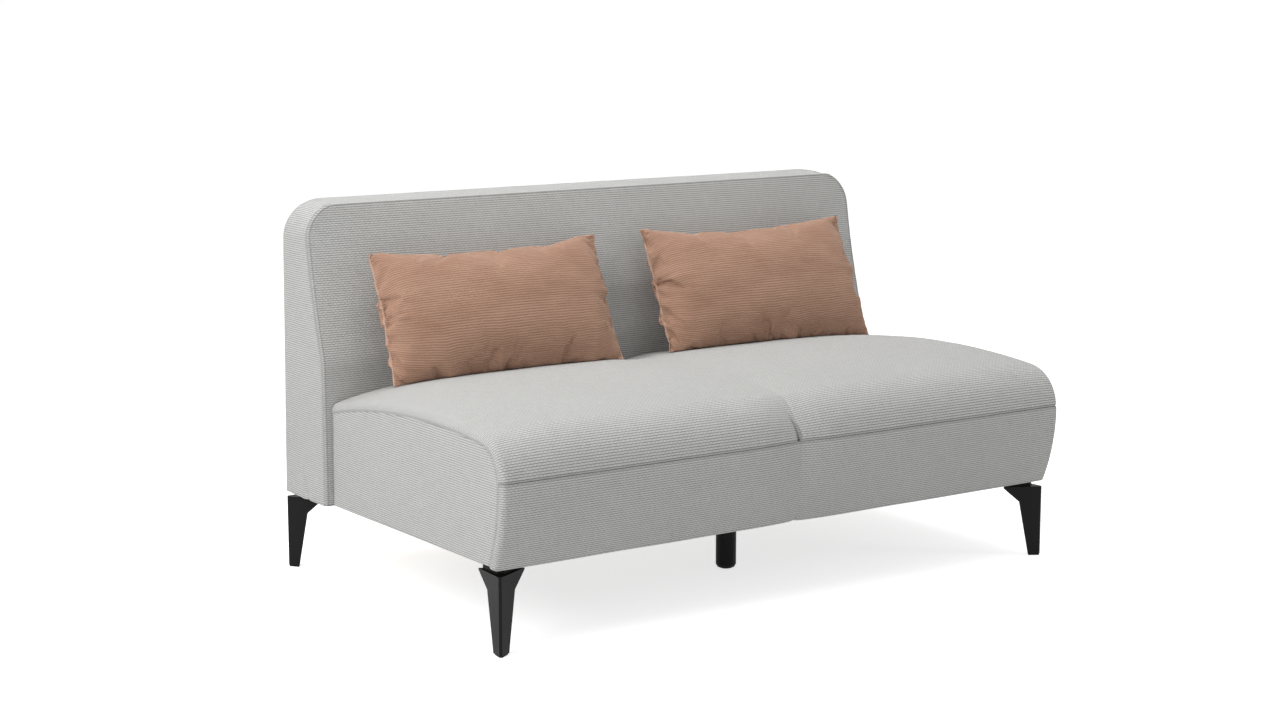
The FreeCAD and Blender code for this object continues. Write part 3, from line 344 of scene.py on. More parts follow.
def unstitched(distance):
    """What a plain seam's panel stores: the way to the seam close by, far away elsewhere, so that
    the cloth shows the seam's painted shade line and no row of stitches."""
    return np.where(distance < PLAIN_REACH, distance + PLAIN_OFFSET, FAR)


def stitch_pull(distance, run, seed):
    """Ripples beside a seam that die away from it: waves of 18 to 40 mm along the seam."""
    ripple = waves(run, 0.0, seed, 6, 0.018, 0.040)
    return 0.0007 * ripple * np.exp(-np.abs(distance) / 0.020)


def fold_line(rise):
    """The tuck's fold wanders to the left as it climbs from the seam."""
    return -0.012 * (np.maximum(rise, 0) / 0.060) ** 1.5


def tuck_gap(run, rise):
    """Distance from the stitched part of the tuck, the 30 mm next to the seam."""
    return np.abs(run - fold_line(rise)) + 0.4 * np.maximum(rise - 0.030, 0)


# %% [markdown]
# The wrap is cut in two along its front seam. Each half becomes a closed pad: the cloth with
# its dips and folds outside, and inside a plain form that meets the frame.
# Two pads that share a border look sewn, where one pad with a groove would look pressed.

# %% The wrap's panels
END_DIP = 0.0014
UNEVENNESS = 0.0009


def seat_panel(name, first, last, floor_points, fold_depth, seed):
    """One panel of the wrap, between two of its rows, as a closed pad over floor_points. The
    front seam's distance counts double, which draws its painted shade line finer than the others."""
    run, height = np.broadcast_arrays(runs[:, None], girth[None, first:last + 1])
    rise = height - girth[seam_row]
    seam_gap = np.abs(rise)
    end_gap = runs[-1] - np.abs(run)
    sink = (seam_dip(seam_gap) + seam_dip(end_gap, END_DIP) - stitch_pull(seam_gap, run, seed)
            - UNEVENNESS * waves(run, height, seed + 1, 9, 0.10, 0.32) + fold_depth(run, rise))
    outward = normals_of(sofa_wrap)[:, first:last + 1]
    patch = sofa_wrap[:, first:last + 1] - outward * sink[..., None]
    nearest = np.minimum(2 * seam_gap, unstitched(end_gap))
    if first == seam_row:
        nearest = np.minimum(nearest, tuck_gap(run, rise))
    return closed_pad(name, patch, floor_points(patch), np.stack([run, height], -1),
                      np.stack([run, nearest], -1))


# %% [markdown]
# The top panel is the comfortable part: cloth over thick foam, so the pad reaches down to the
# deck. The fold of the tuck is sharp at the front seam, runs up over the shoulder and fades.
# The fold is pressed into the grid by formulas, since a cloth simulation would need a far
# finer mesh to hold so sharp a line.

# %% Seat top and seat front
NARROWED = 0.975                     # a pad's hidden side, as a share of its cloth's width
FOAM_FRONT = SEAT_FRONT + 0.030
FOAM_REAR = SEAT_REAR - 0.003
PADDING_REAR = SEAT_FRONT + 0.053
PADDING_TOP = 0.330


def top_floor(patch):
    """The underside of the seat foam: the panel's own places pressed onto the deck."""
    share = (girth[seam_row:] - girth[seam_row]) / (girth[-1] - girth[seam_row])
    y = FOAM_FRONT + share * (FOAM_REAR - FOAM_FRONT)
    return np.stack(np.broadcast_arrays(patch[..., 0] * NARROWED, y, FOAM_FLOOR), -1)


def front_floor(patch):
    """The back of the front padding, a flat wall in front of the rail."""
    z = np.clip(patch[..., 2], UNDERSIDE + 0.003, PADDING_TOP)
    return np.stack(np.broadcast_arrays(patch[..., 0] * NARROWED, PADDING_REAR, z), -1)


def top_fold(run, rise):
    """A narrow valley at the middle: deepest at the seam, gone 135 mm further up. It has low
    lips beside it, and a slit in its first 50 mm, where the cloth is stitched down."""
    off_fold = np.abs(run - fold_line(rise))
    fade = np.clip(1 - rise / 0.135, 0, 1) ** 1.3
    slit = 0.0042 * np.exp(-off_fold / 0.0018) * np.clip(1 - rise / 0.050, 0, 1) ** 0.5
    lips = 0.35 * hump(off_fold - 0.016, 0.010)
    return 0.0050 * (np.exp(-off_fold / 0.0050) - lips) * fade + slit


def front_fold(run, rise):
    """Below the seam the pull goes on as a soft crease, with a little gather at the bottom and
    a shallow drape half way down."""
    down = -rise
    from_seam = np.exp(-down / 0.055) * np.exp(-np.abs(run - 0.004) / 0.0055)
    bottom = np.exp(-(0.170 - down) / 0.030) * np.exp(-np.abs(run - 0.016 + 0.05 * down) / 0.007)
    drape = hump(run + 0.012, 0.012) * hump(down - 0.09, 0.05)
    return 0.0038 * from_seam + 0.0034 * bottom + 0.0009 * drape


seat_top = seat_panel("seat_top", seam_row, last_row, top_floor, top_fold, 11)
seat_front = seat_panel("seat_front", 0, seam_row, front_floor, front_fold, 23)

# %% [markdown]
# Each end of the seat is a flat panel sewn inside the turned-down edge of the wrap. Its border
# is the wrap's own last line, so the two always meet. The panel is a fan from its middle to
# that border and bulges a few millimetres, as foam behind cloth does.
# A flat grid cut to shape would do; the fan was chosen because its rings run along the seam.

# %% Seat ends
END_MIDDLE = np.array([-0.085, 0.285])
END_RINGS = 46
WRAP_STEPS, REAR_STEPS, UNDER_STEPS = 170, 30, 60
END_BULGE = 0.0035
END_THICKNESS = 0.014


def seat_end(name, side):
    """A closed pad: rings from the panel's middle (share 0) to its border (share 1). The bulge
    goes with one less the fourth power of the share."""
    border = sofa_wrap[-1 if side > 0 else 0]
    way = lengths(border[None], 1)[0]
    even = np.linspace(0, way[-1], WRAP_STEPS)
    edge = np.stack([np.interp(even, way, border[:, k]) for k in (1, 2)], -1)
    rear = np.linspace(edge[-1], (SEAT_REAR - 0.001, UNDERSIDE), REAR_STEPS)[1:]
    under = np.linspace(rear[-1], edge[0], UNDER_STEPS)[1:-1]
    loop = np.concatenate([edge, rear, under])
    share = (1 - (1 - np.linspace(0, 1, END_RINGS)) ** 1.6)[:, None]
    spots = END_MIDDLE + (loop - END_MIDDLE) * share[..., None]
    gap = np.linalg.norm(loop - END_MIDDLE, axis=-1) * (1 - share)
    bulge = (END_BULGE * (1 - share**4) - seam_dip(gap, 0.0016)
             + 0.0006 * waves(spots[..., 0], spots[..., 1], 31 + side, 8, 0.08, 0.25))
    flat = SEAT_HALF - 0.0005
    outer = np.concatenate([side * (flat + bulge[..., None]), spots], -1)
    inner = outer.copy()
    inner[..., 0] = side * (flat - END_THICKNESS)
    around = np.broadcast_to(lengths(loop[:, None], 0)[:, 0], gap.shape)
    return closed_pad(name, outer, inner, spots, np.stack([around, unstitched(gap)], -1),
                      wrap=True)


seat_end_left = seat_end("seat_end_left", -1)
seat_end_right = seat_end("seat_end_right", 1)

# %% [markdown]
# The back is boxed: a front panel, a strip that runs up one side, round both top corners and
# down the other side, and a rear panel. Seen from the front its outline is a rectangle with
# two round top corners. The distance to that outline tells where its seams dip.
# The same distance rounds the edges as well, so the back needs no bevel and no boolean.

# %% The back's outline and faces
BEND_SOFTNESS = 0.016    # how gently the front starts to lean back
HOLLOW = 0.009           # how far it sinks between bend and top
FULLNESS = 0.014         # and what the foam gives back in the middle
SIDE_PACKING = 0.72


def inside_outline(x, z, inset=0.0):
    """Distance inwards from the outline, the usual rounded-box distance, with no lower edge."""
    half, top, radius = BACK_HALF - inset, BACK_TOP - inset, CORNER_RADIUS - inset
    qx = np.abs(x) - (half - radius)
    qz = z - (top - radius)
    outside = np.hypot(np.maximum(qx, 0), np.maximum(qz, 0)) + np.minimum(np.maximum(qx, qz), 0)
    return radius - outside


def front_face(x, z):
    """y of the back's front: upright below the bend, then raked, a little hollow at the sides
    and full in the middle (a parabola of the height between bend and top). The bend is soft:
    half the sum of the height past it and the hypotenuse of that height and the softness."""
    rise = BACK_LIP - BACK_BEND
    past = z - BACK_BEND
    soft = 0.5 * (past + np.hypot(past, BEND_SOFTNESS) + rise - np.hypot(rise, BEND_SOFTNESS))
    share = np.maximum(soft, 0) / rise
    full = FULLNESS * (1 - np.abs(x / BACK_HALF) ** 4) * np.clip(share * 3, 0, 1)
    lean = (BACK_TOP_FRONT - SEAT_REAR) * share
    return SEAT_REAR + lean + 4 * (HOLLOW - full) * share * (1 - share)


def rear_face(z):
    """y of the leaning rear plane."""
    return BACK_REAR - BACK_LEAN * (z - UNDERSIDE) / (BACK_TOP - UNDERSIDE)


def rounded_rows(inset, count_x, count_z):
    """A grid that fills the outline: rows of x across the width that the outline leaves at z.
    Its points lie closer together near the sides and the top."""
    top = BACK_TOP - inset
    radius = CORNER_RADIUS - inset
    share = np.linspace(0, 1, count_z)
    z = UNDERSIDE + (top - UNDERSIDE) * (1 - (1 - share) ** 1.5)
    up = np.maximum(z - (top - radius), 0)
    width = BACK_HALF - inset - radius + np.sqrt(np.maximum(radius**2 - up**2, 0))
    across = np.linspace(-1, 1, count_x)
    across = across + SIDE_PACKING * np.sin(np.pi * across) / np.pi
    return np.broadcast_arrays(across[:, None] * width, z)


# %% [markdown]
# The front panel lies over raked foam. Its edge rolls back a few millimetres to the seam, and
# a second row of stitches runs just inside it, which shows as a double line in the photograph.
# It could be one swollen box, but hollow sides with a full middle are what the photograph's
# light shows, and a surface y of x and z gives both.

# %% Back front panel
FRONT_ROLL = 0.006      # radius of the rolled edge
STITCH_ROW = 0.0062     # the topstitching's distance from the seam
FOLD_SHIFT = 0.0005     # the seam lies this far outside the panel's edge
FRONT_INSET = 0.0015


def rolled(distance, radius):
    """How far a rounded edge has drawn back at a distance from it: the radius less the height
    of its circle there."""
    near = np.clip(distance, 0, radius)
    return radius - np.sqrt(np.maximum(radius**2 - (radius - near) ** 2, 0))


x, z = rounded_rows(FRONT_INSET, 260, 170)
gap = inside_outline(x, z, FRONT_INSET)
off_seam = gap + FOLD_SHIFT
y = (front_face(x, z) + rolled(gap, FRONT_ROLL) + 0.0008 * hump(off_seam - STITCH_ROW, 0.0013)
     - 0.0010 * waves(x, z, 41, 10, 0.12, 0.40) * np.clip(gap / 0.03, 0, 1)
     - stitch_pull(gap, x + z, 43))
outer = np.stack([x, y, np.minimum(z, BACK_TOP - 0.006)], -1)
inner = np.stack([0.985 * x, np.maximum(y + 0.012, SEAT_REAR + 0.020), outer[..., 2]], -1)
back_front = closed_pad("back_front", outer, inner, np.stack([x, z], -1),
                        np.stack([x + z, off_seam], -1))

# %% [markdown]
# The boxing strip is a profile carried along the outline. On top it is crowned from the front
# seam to the rear corner; at the sides it is nearly flat. Near its lower end on the sofa's
# left side the cloth is folded under, which leaves a small slanting crease.
# A bevelled curve could make such a strip, but its profile couldn't change on the way from
# the side to the top, as this one does.

# %% Back boxing
BOXING_STEPS = 64       # points across the strip
CREASE_DEPTH = 0.0050
CREASE_HEIGHT = 0.085


def outline_path(count_side, count_corner, count_top):
    """Points (x, z) and outward directions along the outline: up the left side, round the
    corner, along the top and down the right side."""
    side = np.linspace(UNDERSIDE, BACK_TOP - CORNER_RADIUS, count_side)
    angle = np.linspace(np.pi, np.pi / 2, count_corner)[1:-1]
    top = np.linspace(CORNER_RADIUS - BACK_HALF, 0, count_top)
    px = np.concatenate([np.full(count_side, -BACK_HALF),
                         CORNER_RADIUS - BACK_HALF + CORNER_RADIUS * np.cos(angle), top])
    pz = np.concatenate([side, BACK_TOP - CORNER_RADIUS + CORNER_RADIUS * np.sin(angle),
                         np.full(count_top, BACK_TOP)])
    nx = np.concatenate([np.full(count_side, -1.0), np.cos(angle), np.zeros(count_top)])
    nz = np.concatenate([np.zeros(count_side), np.sin(angle), np.ones(count_top)])
    mirror = slice(-2, None, -1)
    path = np.stack([np.concatenate([px, -px[mirror]]), np.concatenate([pz, pz[mirror]])], -1)
    out = np.stack([np.concatenate([nx, -nx[mirror]]), np.concatenate([nz, nz[mirror]])], -1)
    return path, out


path, outward = outline_path(130, 26, 120)
px, pz = path[:, :1], path[:, 1:]
evenly = np.linspace(0, 1, BOXING_STEPS)
share = 0.35 * (0.5 - 0.5 * np.cos(np.pi * evenly)) + 0.65 * evenly
start_y = front_face(px, np.minimum(pz, BACK_LIP)) + FRONT_ROLL
depth = rear_face(pz) - 0.001 - start_y
ahead, behind = share * depth, (1 - share) * depth
y = start_y + ahead
topness = np.maximum(outward[:, 1:], 0) ** 2
crown = 0.007 * (1 - np.clip(ahead / 0.055, 0, 1)) ** 2
inset = (topness * crown + rolled(behind, 0.006 + 0.012 * topness)
         + seam_dip(ahead, 0.0020) + seam_dip(behind, 0.0016)
         - 0.0016 * np.sin(np.pi * share) * (1 - topness)
         - 0.0007 * waves(px + pz, y, 47, 9, 0.09, 0.30))

on_left = px < -BACK_HALF + 0.001
off_crease = y - 0.335 - 0.20 * (pz - 0.20)
crease_reach = np.clip(1 - (pz - UNDERSIDE) / CREASE_HEIGHT, 0, 1) * on_left
inset = inset + CREASE_DEPTH * crease_reach * (np.exp(-np.abs(off_crease) / 0.0055)
                                               - 0.45 * hump(off_crease - 0.013, 0.010))
thickness = 0.0085 + 0.030 * topness
outer, inner = (np.stack(np.broadcast_arrays(px - outward[:, :1] * drop, y,
                                             pz - outward[:, 1:] * drop), -1)
                for drop in (inset, thickness))
path_run = lengths(path[:, None], 0)
# The cloth's material paints a line of shade along the fold-under crease, by this distance.
crease_gap = np.where(on_left, np.abs(off_crease) + 0.06 * (pz - UNDERSIDE), FAR)
off_seam = np.minimum(unstitched(ahead), unstitched(crease_gap))
back_boxing = closed_pad("back_boxing", outer, inner,
                         np.stack(np.broadcast_arrays(y, path_run), -1),
                         np.stack(np.broadcast_arrays(path_run, off_seam), -1))

# %% [markdown]
# The rear panel is a single tight skin over the open frame, so it only dips at its seam and
# sinks a little between the boards.
# It is made like the front panel, from the same outline, so that all three parts meet.

# %% Back rear panel
REAR_EDGE = 0.003       # radius of its edge, and its inset from the outline
REAR_CLOTH = 0.0012

x, z = rounded_rows(REAR_EDGE, 220, 150)
gap = inside_outline(x, z, REAR_EDGE)
y = (rear_face(z) - rolled(gap, REAR_EDGE) + 0.0008 * waves(x, z, 53, 8, 0.15, 0.45)
     - 0.0006 * hump(gap - STITCH_ROW, 0.0012))
z_rear = np.minimum(z, BACK_TOP - 0.010)
outer = np.stack([x, y, z_rear], -1)
inner = np.stack([x * 0.997, y - REAR_CLOTH, z_rear], -1)
back_rear = closed_pad("back_rear", outer, inner, np.stack([x, z], -1),
                       np.stack([x + z, gap], -1))

# %% [markdown]
# Behind the seat the cover closes with a plain panel that only shows when the two units are taken
# apart. Under the frame a thin black lining is stapled on; it sags a little between the rails,
# and as a stretched sheet it spans the box of the CAD's dust cover.
# A simulation would find the same sag; for a few millimetres two sines are enough.

# %% Seat rear panel and lining
SAG = 0.0045

rear_curve = sofa_wrap[4:-4, -1]
share = np.linspace(0, 1, 30)
x, z = np.broadcast_arrays(rear_curve[:, :1] * 0.998,
                           UNDERSIDE + 0.001 + share * (rear_curve[:, 2:] - 0.004 - UNDERSIDE))
outer, inner = (np.stack(np.broadcast_arrays(x, y, z), -1)
                for y in (SEAT_REAR - 0.0012, SEAT_REAR - 0.0022))
seat_rear = closed_pad("seat_rear", outer, inner, np.stack([x, z], -1))

low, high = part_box("seat_dust_cover")
lining_size = (high[0] - low[0], high[1] - low[1])
u = np.linspace(0, 1, 90)[:, None]
v = np.linspace(0, 1, 50)[None, :]
x, y = np.broadcast_arrays(low[0] + u * lining_size[0], low[1] + v * lining_size[1])
bays = np.abs(np.sin(2 * np.pi * u)) ** 0.8 * np.sin(np.pi * v) ** 0.8
z = high[2] - 0.0002 - SAG * bays + 0.0006 * waves(x, y, 61, 7, 0.10, 0.30) * bays
lower = np.stack([x, y, z - 0.0008], -1)
upper = np.stack([x, y, z], -1)
lining = closed_pad("lining", lower, upper, np.stack([x, y], -1))

# %% [markdown]
# Which body each piece moves with, and which CAD nodes it stands for.
# The covers, paddings and foams of the CAD are plain solids. They stay in the model for
# contact and weight, and are hidden here behind the pieces that stand for them.

# %% Tie the upholstery to the frame
upholstery = {
    seat_top: ["seat_top_cover", "seat_foam"],
    seat_front: ["seat_front_cover", "seat_front_padding"],
    seat_end_left: ["seat_side_cover_left", "seat_side_padding_left"],
    seat_end_right: ["seat_side_cover_right", "seat_side_padding_right"],
    back_front: ["back_front_cover", "back_foam"],
    back_boxing: ["back_boxing_cover", "back_top_padding", "back_side_padding_left",
                  "back_side_padding_right"],
    seat_rear: ["seat_rear_cover"],
    back_rear: ["back_rear_cover"],
}
for piece, nodes in upholstery.items():
    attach(piece, "sofa")
    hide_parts(*nodes)
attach(lining, "sofa")
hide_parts("seat_dust_cover")
print("upholstery pieces:", len(upholstery) + 1)

# %% [markdown]
# A pillow is two flat rectangles of cloth sewn together along their edges and stuffed. The
# simulation starts from exactly that: two sheets that share their border, blown up by an inner
# pressure. The cloth hardly stretches, so the edges draw in, the corners stay as ears and the
# sides pucker by themselves.
# A crowned box with pinched corners could be drawn by hand, but it never gets a bag's slack
# corners and full middle as right as the stuffing does.

# %% Cut and sew a pillow
PILLOW_LENGTH = 0.560
PILLOW_HEIGHT = 0.294
PILLOW_THICK = 0.132
CUT_LENGTH = 1.06 * PILLOW_LENGTH
CUT_HEIGHT = 1.08 * PILLOW_HEIGHT
COLS, ROWS = 88, 48        # points of a sheet while it is simulated
FULL_ENDS = 0.016          # how far a sheet's sides are cut full
FULL_SIDES = 0.010


def flat_cloth(cols, rows):
    """Places on the flat cloth, counted from its middle: along it and up it."""
    return (CUT_LENGTH * np.linspace(-0.5, 0.5, cols)[:, None],
            CUT_HEIGHT * np.linspace(-0.5, 0.5, rows)[None, :])


def off_sides(u, v):
    """Distances from the nearest short side and from the nearest long side."""
    return CUT_LENGTH / 2 - np.abs(u), CUT_HEIGHT / 2 - np.abs(v)


def cut_sheets(seed):
    """Front and back sheet, cut with full sides: each side's middle stands out by a parabola,
    because stuffing draws the middles in."""
    u = np.linspace(-0.5, 0.5, COLS)[:, None]
    v = np.linspace(-0.5, 0.5, ROWS)[None, :]
    x = CUT_LENGTH * u + FULL_ENDS * 2 * u * (1 - (2 * v) ** 2)
    z = CUT_HEIGHT * v + FULL_SIDES * 2 * v * (1 - (2 * u) ** 2)
    edge = np.minimum(0.5 - np.abs(u), 0.5 - np.abs(v))
    uneven = 0.0015 * waves(x, z, seed, 10, 0.04, 0.12) * (edge > 0)
    return [np.stack([x, uneven + side * 0.05 * edge, z], -1) for side in (-1, 1)]


def sew(name, front, back):
    """One closed bag: the back sheet uses the front sheet's border points. Its UV maps are the
    flat cloth and the distance from the nearest side."""
    cols, rows = front.shape[:2]
    index = np.arange(cols * rows).reshape(cols, rows)
    other = index.copy()
    other[1:-1, 1:-1] = cols * rows + np.arange((cols - 2) * (rows - 2)).reshape(cols - 2, -1)
    quads = [np.stack([g[:-1, :-1], g[1:, :-1], g[1:, 1:], g[:-1, 1:]], -1).reshape(-1, 4)
             for g in (index, other[:, ::-1])]
    u, v = flat_cloth(cols, rows)
    uv = np.stack(np.broadcast_arrays(u, v), -1)
    seam = np.stack([u + v, np.minimum(*off_sides(u, v))], -1)

    def joined(one, two):
        """All points of one sheet, then the inner points of the other."""
        return np.concatenate([one.reshape(-1, one.shape[-1]),
                               two[1:-1, 1:-1].reshape(-1, one.shape[-1])])

    return as_mesh(name, joined(front, back), np.concatenate(quads), joined(uv, uv),
                   joined(seam, seam))


def sheets_of(points):
    """The two sheets of a sewn bag's points."""
    front = points[:COLS * ROWS].reshape(COLS, ROWS, 3)
    back = front.copy()
    back[1:-1, 1:-1] = points[COLS * ROWS:].reshape(COLS - 2, ROWS - 2, 3)
    return front, back


# %% [markdown]
# Before it is blown up, the bag's sewn border is gathered: its threads shrink a little, most
# on the short sides, which makes the puckers there. Both bags are simulated side by side.
# Pressure alone swells the bag like a balloon; the gathered border is what holds its sides.

# %% Stuff the bags
STUFFING_FRAMES = 26


def gather_sides(bag):
    """Mark the border for the simulation, in full on the short sides and less elsewhere."""
    index = np.arange(COLS * ROWS).reshape(COLS, ROWS)
    gathered = bag.vertex_groups.new(name="gathered")
    for threads, share in ((index[[0, -1], :], 1.0), (index[[1, -2], :], 0.6),
                           (index[2:-2, [0, -1]], 0.3)):
        gathered.add(threads.ravel().tolist(), share, "REPLACE")


def add_stuffing(piece):
    """Cloth with an inner pressure. The sewn border is gathered: its threads shrink."""
    cloth = piece.modifiers.new("stuffing", "CLOTH")
    settings = cloth.settings
    settings.quality = 4
    settings.mass = 0.15
    settings.tension_stiffness = 25
    settings.compression_stiffness = 10
    settings.shear_stiffness = 6
    settings.bending_stiffness = 0.8
    settings.tension_damping = 8
    settings.air_damping = 4
    settings.vertex_group_shrink = "gathered"
    settings.shrink_min = 0.0
    settings.shrink_max = 0.05
    settings.use_pressure = True
    settings.uniform_pressure_force = 5.0
    settings.effector_weights.gravity = 0
    cloth.collision_settings.use_collision = False


def stuffed(pieces):
    """Blow the bags up side by side and keep the results as their meshes."""
    for piece in pieces:
        add_stuffing(piece)
    for step in range(1, STUFFING_FRAMES + 1):
        bpy.context.scene.frame_set(step)
    graph = bpy.context.evaluated_depsgraph_get()
    for piece in pieces:
        done = bpy.data.meshes.new_from_object(piece.evaluated_get(graph))
        piece.modifiers.clear()
        piece.data = done
    bpy.context.scene.frame_set(1)


def vertices_of(piece):
    """All vertex places of a mesh as an array."""
    flat = np.empty(len(piece.data.vertices) * 3, dtype=np.float32)
    piece.data.vertices.foreach_get("co", flat)
    return flat.reshape(-1, 3).astype(float)


# %% [markdown]
# The blown bag is coarse, so its sheets are refined on smooth curves. Then come the things
# that a coarse bag can't hold: sides straightened by hand, as one does with a new pillow,
# valleys at the gathered sides and the seam's thin rolled edge.
# A finer simulation could find some of this by itself, but it would take minutes.

# %% Refine, straighten and pucker
CALM_PASSES = 14
BOW_ENDS, BOW_BOTTOM, BOW_TOP = 0.75, 1.0, 0.30    # shares of the sides' bow that are taken out
FINER = 3


def finer(grid, times):
    """The same sheet with more steps each way, on Catmull-Rom curves through the old points:
    half of 2b + (c - a) t + (2a - 5b + 4c - d) t^2 + (3b - a - 3c + d) t^3."""
    for axis in (0, 1):
        line = np.moveaxis(grid, axis, 0)
        line = np.concatenate([2 * line[:1] - line[1:2], line, 2 * line[-1:] - line[-2:-1]])
        a, b, c, d = (line[k:len(line) - 3 + k, None] for k in range(4))
        t = (np.arange(times) / times).reshape(1, -1, 1, 1)
        steps = 0.5 * (2 * b + (c - a) * t + (2 * a - 5 * b + 4 * c - d) * t**2
                       + (3 * b - a - 3 * c + d) * t**3)
        steps = steps.reshape(-1, *line.shape[1:])
        grid = np.moveaxis(np.concatenate([steps, line[-2:-1]]), 0, axis)
    return grid


def calm(sheet):
    """Even out the cloth's swell away from the two short sides, where the stuffing is firm:
    passes of the mean of the four neighbours, mixed in by the distance from those sides."""
    off_end, _ = off_sides(*flat_cloth(*sheet.shape[:2]))
    share = np.clip((off_end[1:-1] - 0.020) / 0.040, 0, 0.9)
    for _ in range(CALM_PASSES):
        y = sheet[..., 1]
        mean = (y[:-2, 1:-1] + y[2:, 1:-1] + y[1:-1, :-2] + y[1:-1, 2:]) / 4
        sheet[1:-1, 1:-1, 1] += share * (mean - y[1:-1, 1:-1])
    return sheet


def bow_of(line):
    """How far a side's points lie off the straight line between its corners."""
    return line - np.linspace(line[0], line[-1], len(line))


def straighten(front, back):
    """Take out part of the sides' inward bow: all of it at the bottom, which rests on the seat,
    less at the ends and least on top. The shift fades towards the pillow's middle."""
    cols, rows = front.shape[:2]
    u = np.linspace(-1, 1, cols)[:, None]
    v = np.linspace(-1, 1, rows)[None, :]
    shift_x = sum(BOW_ENDS * np.clip(side * u, 0, 1) ** 1.5 * bow_of(front[end, :, 0])
                  for side, end in ((-1, 0), (1, -1)))
    shift_z = sum(part * np.clip(side * v, 0, 1) ** 1.5 * bow_of(front[:, end, 2])[:, None]
                  for side, end, part in ((-1, 0, BOW_BOTTOM), (1, -1, BOW_TOP)))
    for sheet in (front, back):
        sheet[..., 0] -= shift_x
        sheet[..., 2] -= shift_z
    return front, back


def pucker(front, back, seed):
    """Press slanting valleys in from the short sides and a few fainter ones from the long
    sides, and raise the seam's rolled edge. Depth fades away from the side."""
    u, v = flat_cloth(*front.shape[:2])
    rng = np.random.default_rng(seed)
    valley = np.zeros(front.shape[:2])
    for side in (-1, 1):
        off = CUT_LENGTH / 2 - side * u
        for spot in np.linspace(-0.105, 0.100, 6):
            start, slant = spot + rng.uniform(-0.012, 0.012), rng.uniform(-0.35, 0.35) - spot
            depth, reach = rng.uniform(0.0025, 0.0055), rng.uniform(0.012, 0.028)
            line = (v - start - slant * off) / (0.0045 + 0.10 * off)
            valley += depth * np.exp(-line**2 - off / reach)
        off = CUT_HEIGHT / 2 - side * v
        for spot in np.linspace(-0.22, 0.22, 5):
            start = spot + rng.uniform(-0.03, 0.03)
            line = (u - start) / (0.006 + 0.12 * off)
            valley += rng.uniform(0.0003, 0.0011) * np.exp(-line**2 - off / 0.020)
    edge = np.minimum(*off_sides(u, v))
    roll = 0.0016 * hump(edge - 0.0032, 0.0022)
    for sheet, out in ((front, -1), (back, 1)):
        room = np.clip(np.abs(sheet[..., 1]) / 0.012, 0, 1)
        sheet[..., 1] += out * (roll - valley * room) * (edge > 0)
    return front, back


# %% [markdown]
# The pillow then leans where the CAD pillow leans. The CAD gives its middle and its tilt;
# where the soft form would enter the seat or the back, it is pressed flat against them.
# A collision in the simulation could do that; pressing is quicker and just as true, since
# both surfaces are known as formulas.

# %% Lean a pillow on the back
PILLOW_LEAN = math.radians(22)
PILLOW_SINK = 0.006          # how far its weight presses it down
PILLOW_SPREAD = 1.010
PILLOW_SHIFT = 0.003
PILLOW_SKEW = 0.004          # how far its top has slid to the left
EAR = 0.005                  # how far its corners stand out
EAR_REACH = 0.020
SEAT_CLEARANCE = 0.0012
BACK_CLEARANCE = 0.0015
FLATTENING = 0.002           # height over which its bottom goes flat


def seat_height(x, y):
    """z of the seat's top at places near its rear, read off the wrap's grid."""
    column = np.clip(np.searchsorted(sofa_wrap[:, last_row, 0], x), 1, len(runs) - 2)
    rows = sofa_wrap[:, seam_row + SHOULDER_ROWS:]
    share = (y - rows[MIDDLE, 0, 1]) / (rows[MIDDLE, -1, 1] - rows[MIDDLE, 0, 1])
    place = np.clip(share, 0, 1) * (rows.shape[1] - 1)
    low_row = np.floor(place).astype(int)
    high_row = np.minimum(low_row + 1, rows.shape[1] - 1)
    part = place - low_row
    return rows[column, low_row, 2] * (1 - part) + rows[column, high_row, 2] * part


def lean_pillow(sheet, size, node):
    """Bring points of a bag of a given size to the CAD pillow's size, turn them about x by the
    lean and press them flat where they touch the seat or the back. The seat is met softly: a
    point rises by the logarithm of one plus e to the power of its depth."""
    low, high = (np.array(corner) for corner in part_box(node))
    points = sheet * np.array([PILLOW_LENGTH, PILLOW_THICK, PILLOW_HEIGHT]) / size
    points[..., 0] *= PILLOW_SPREAD
    points[..., 0] += PILLOW_SHIFT - PILLOW_SKEW * points[..., 2] / (PILLOW_HEIGHT / 2)
    corner = np.hypot(PILLOW_LENGTH / 2 - np.abs(points[..., 0]),
                      PILLOW_HEIGHT / 2 - np.abs(points[..., 2]))
    ear = EAR * hump(corner, EAR_REACH)
    points[..., 0] += np.sign(points[..., 0]) * ear
    points[..., 2] += 0.6 * np.sign(points[..., 2]) * ear
    cos, sin = math.cos(-PILLOW_LEAN), math.sin(-PILLOW_LEAN)
    y = points[..., 1] * cos - points[..., 2] * sin
    z = points[..., 1] * sin + points[..., 2] * cos
    points = np.stack([points[..., 0], y, z - PILLOW_SINK], -1) + (low + high) / 2
    floor_z = seat_height(points[..., 0], points[..., 1]) + SEAT_CLEARANCE
    depth = np.clip((floor_z - points[..., 2]) / FLATTENING, -9, 30)
    points[..., 2] = np.maximum(points[..., 2] + FLATTENING * np.log1p(np.exp(depth)), floor_z)
    wall = front_face(points[..., 0], points[..., 2]) - BACK_CLEARANCE
    points[..., 1] = np.minimum(points[..., 1], wall)
    return points


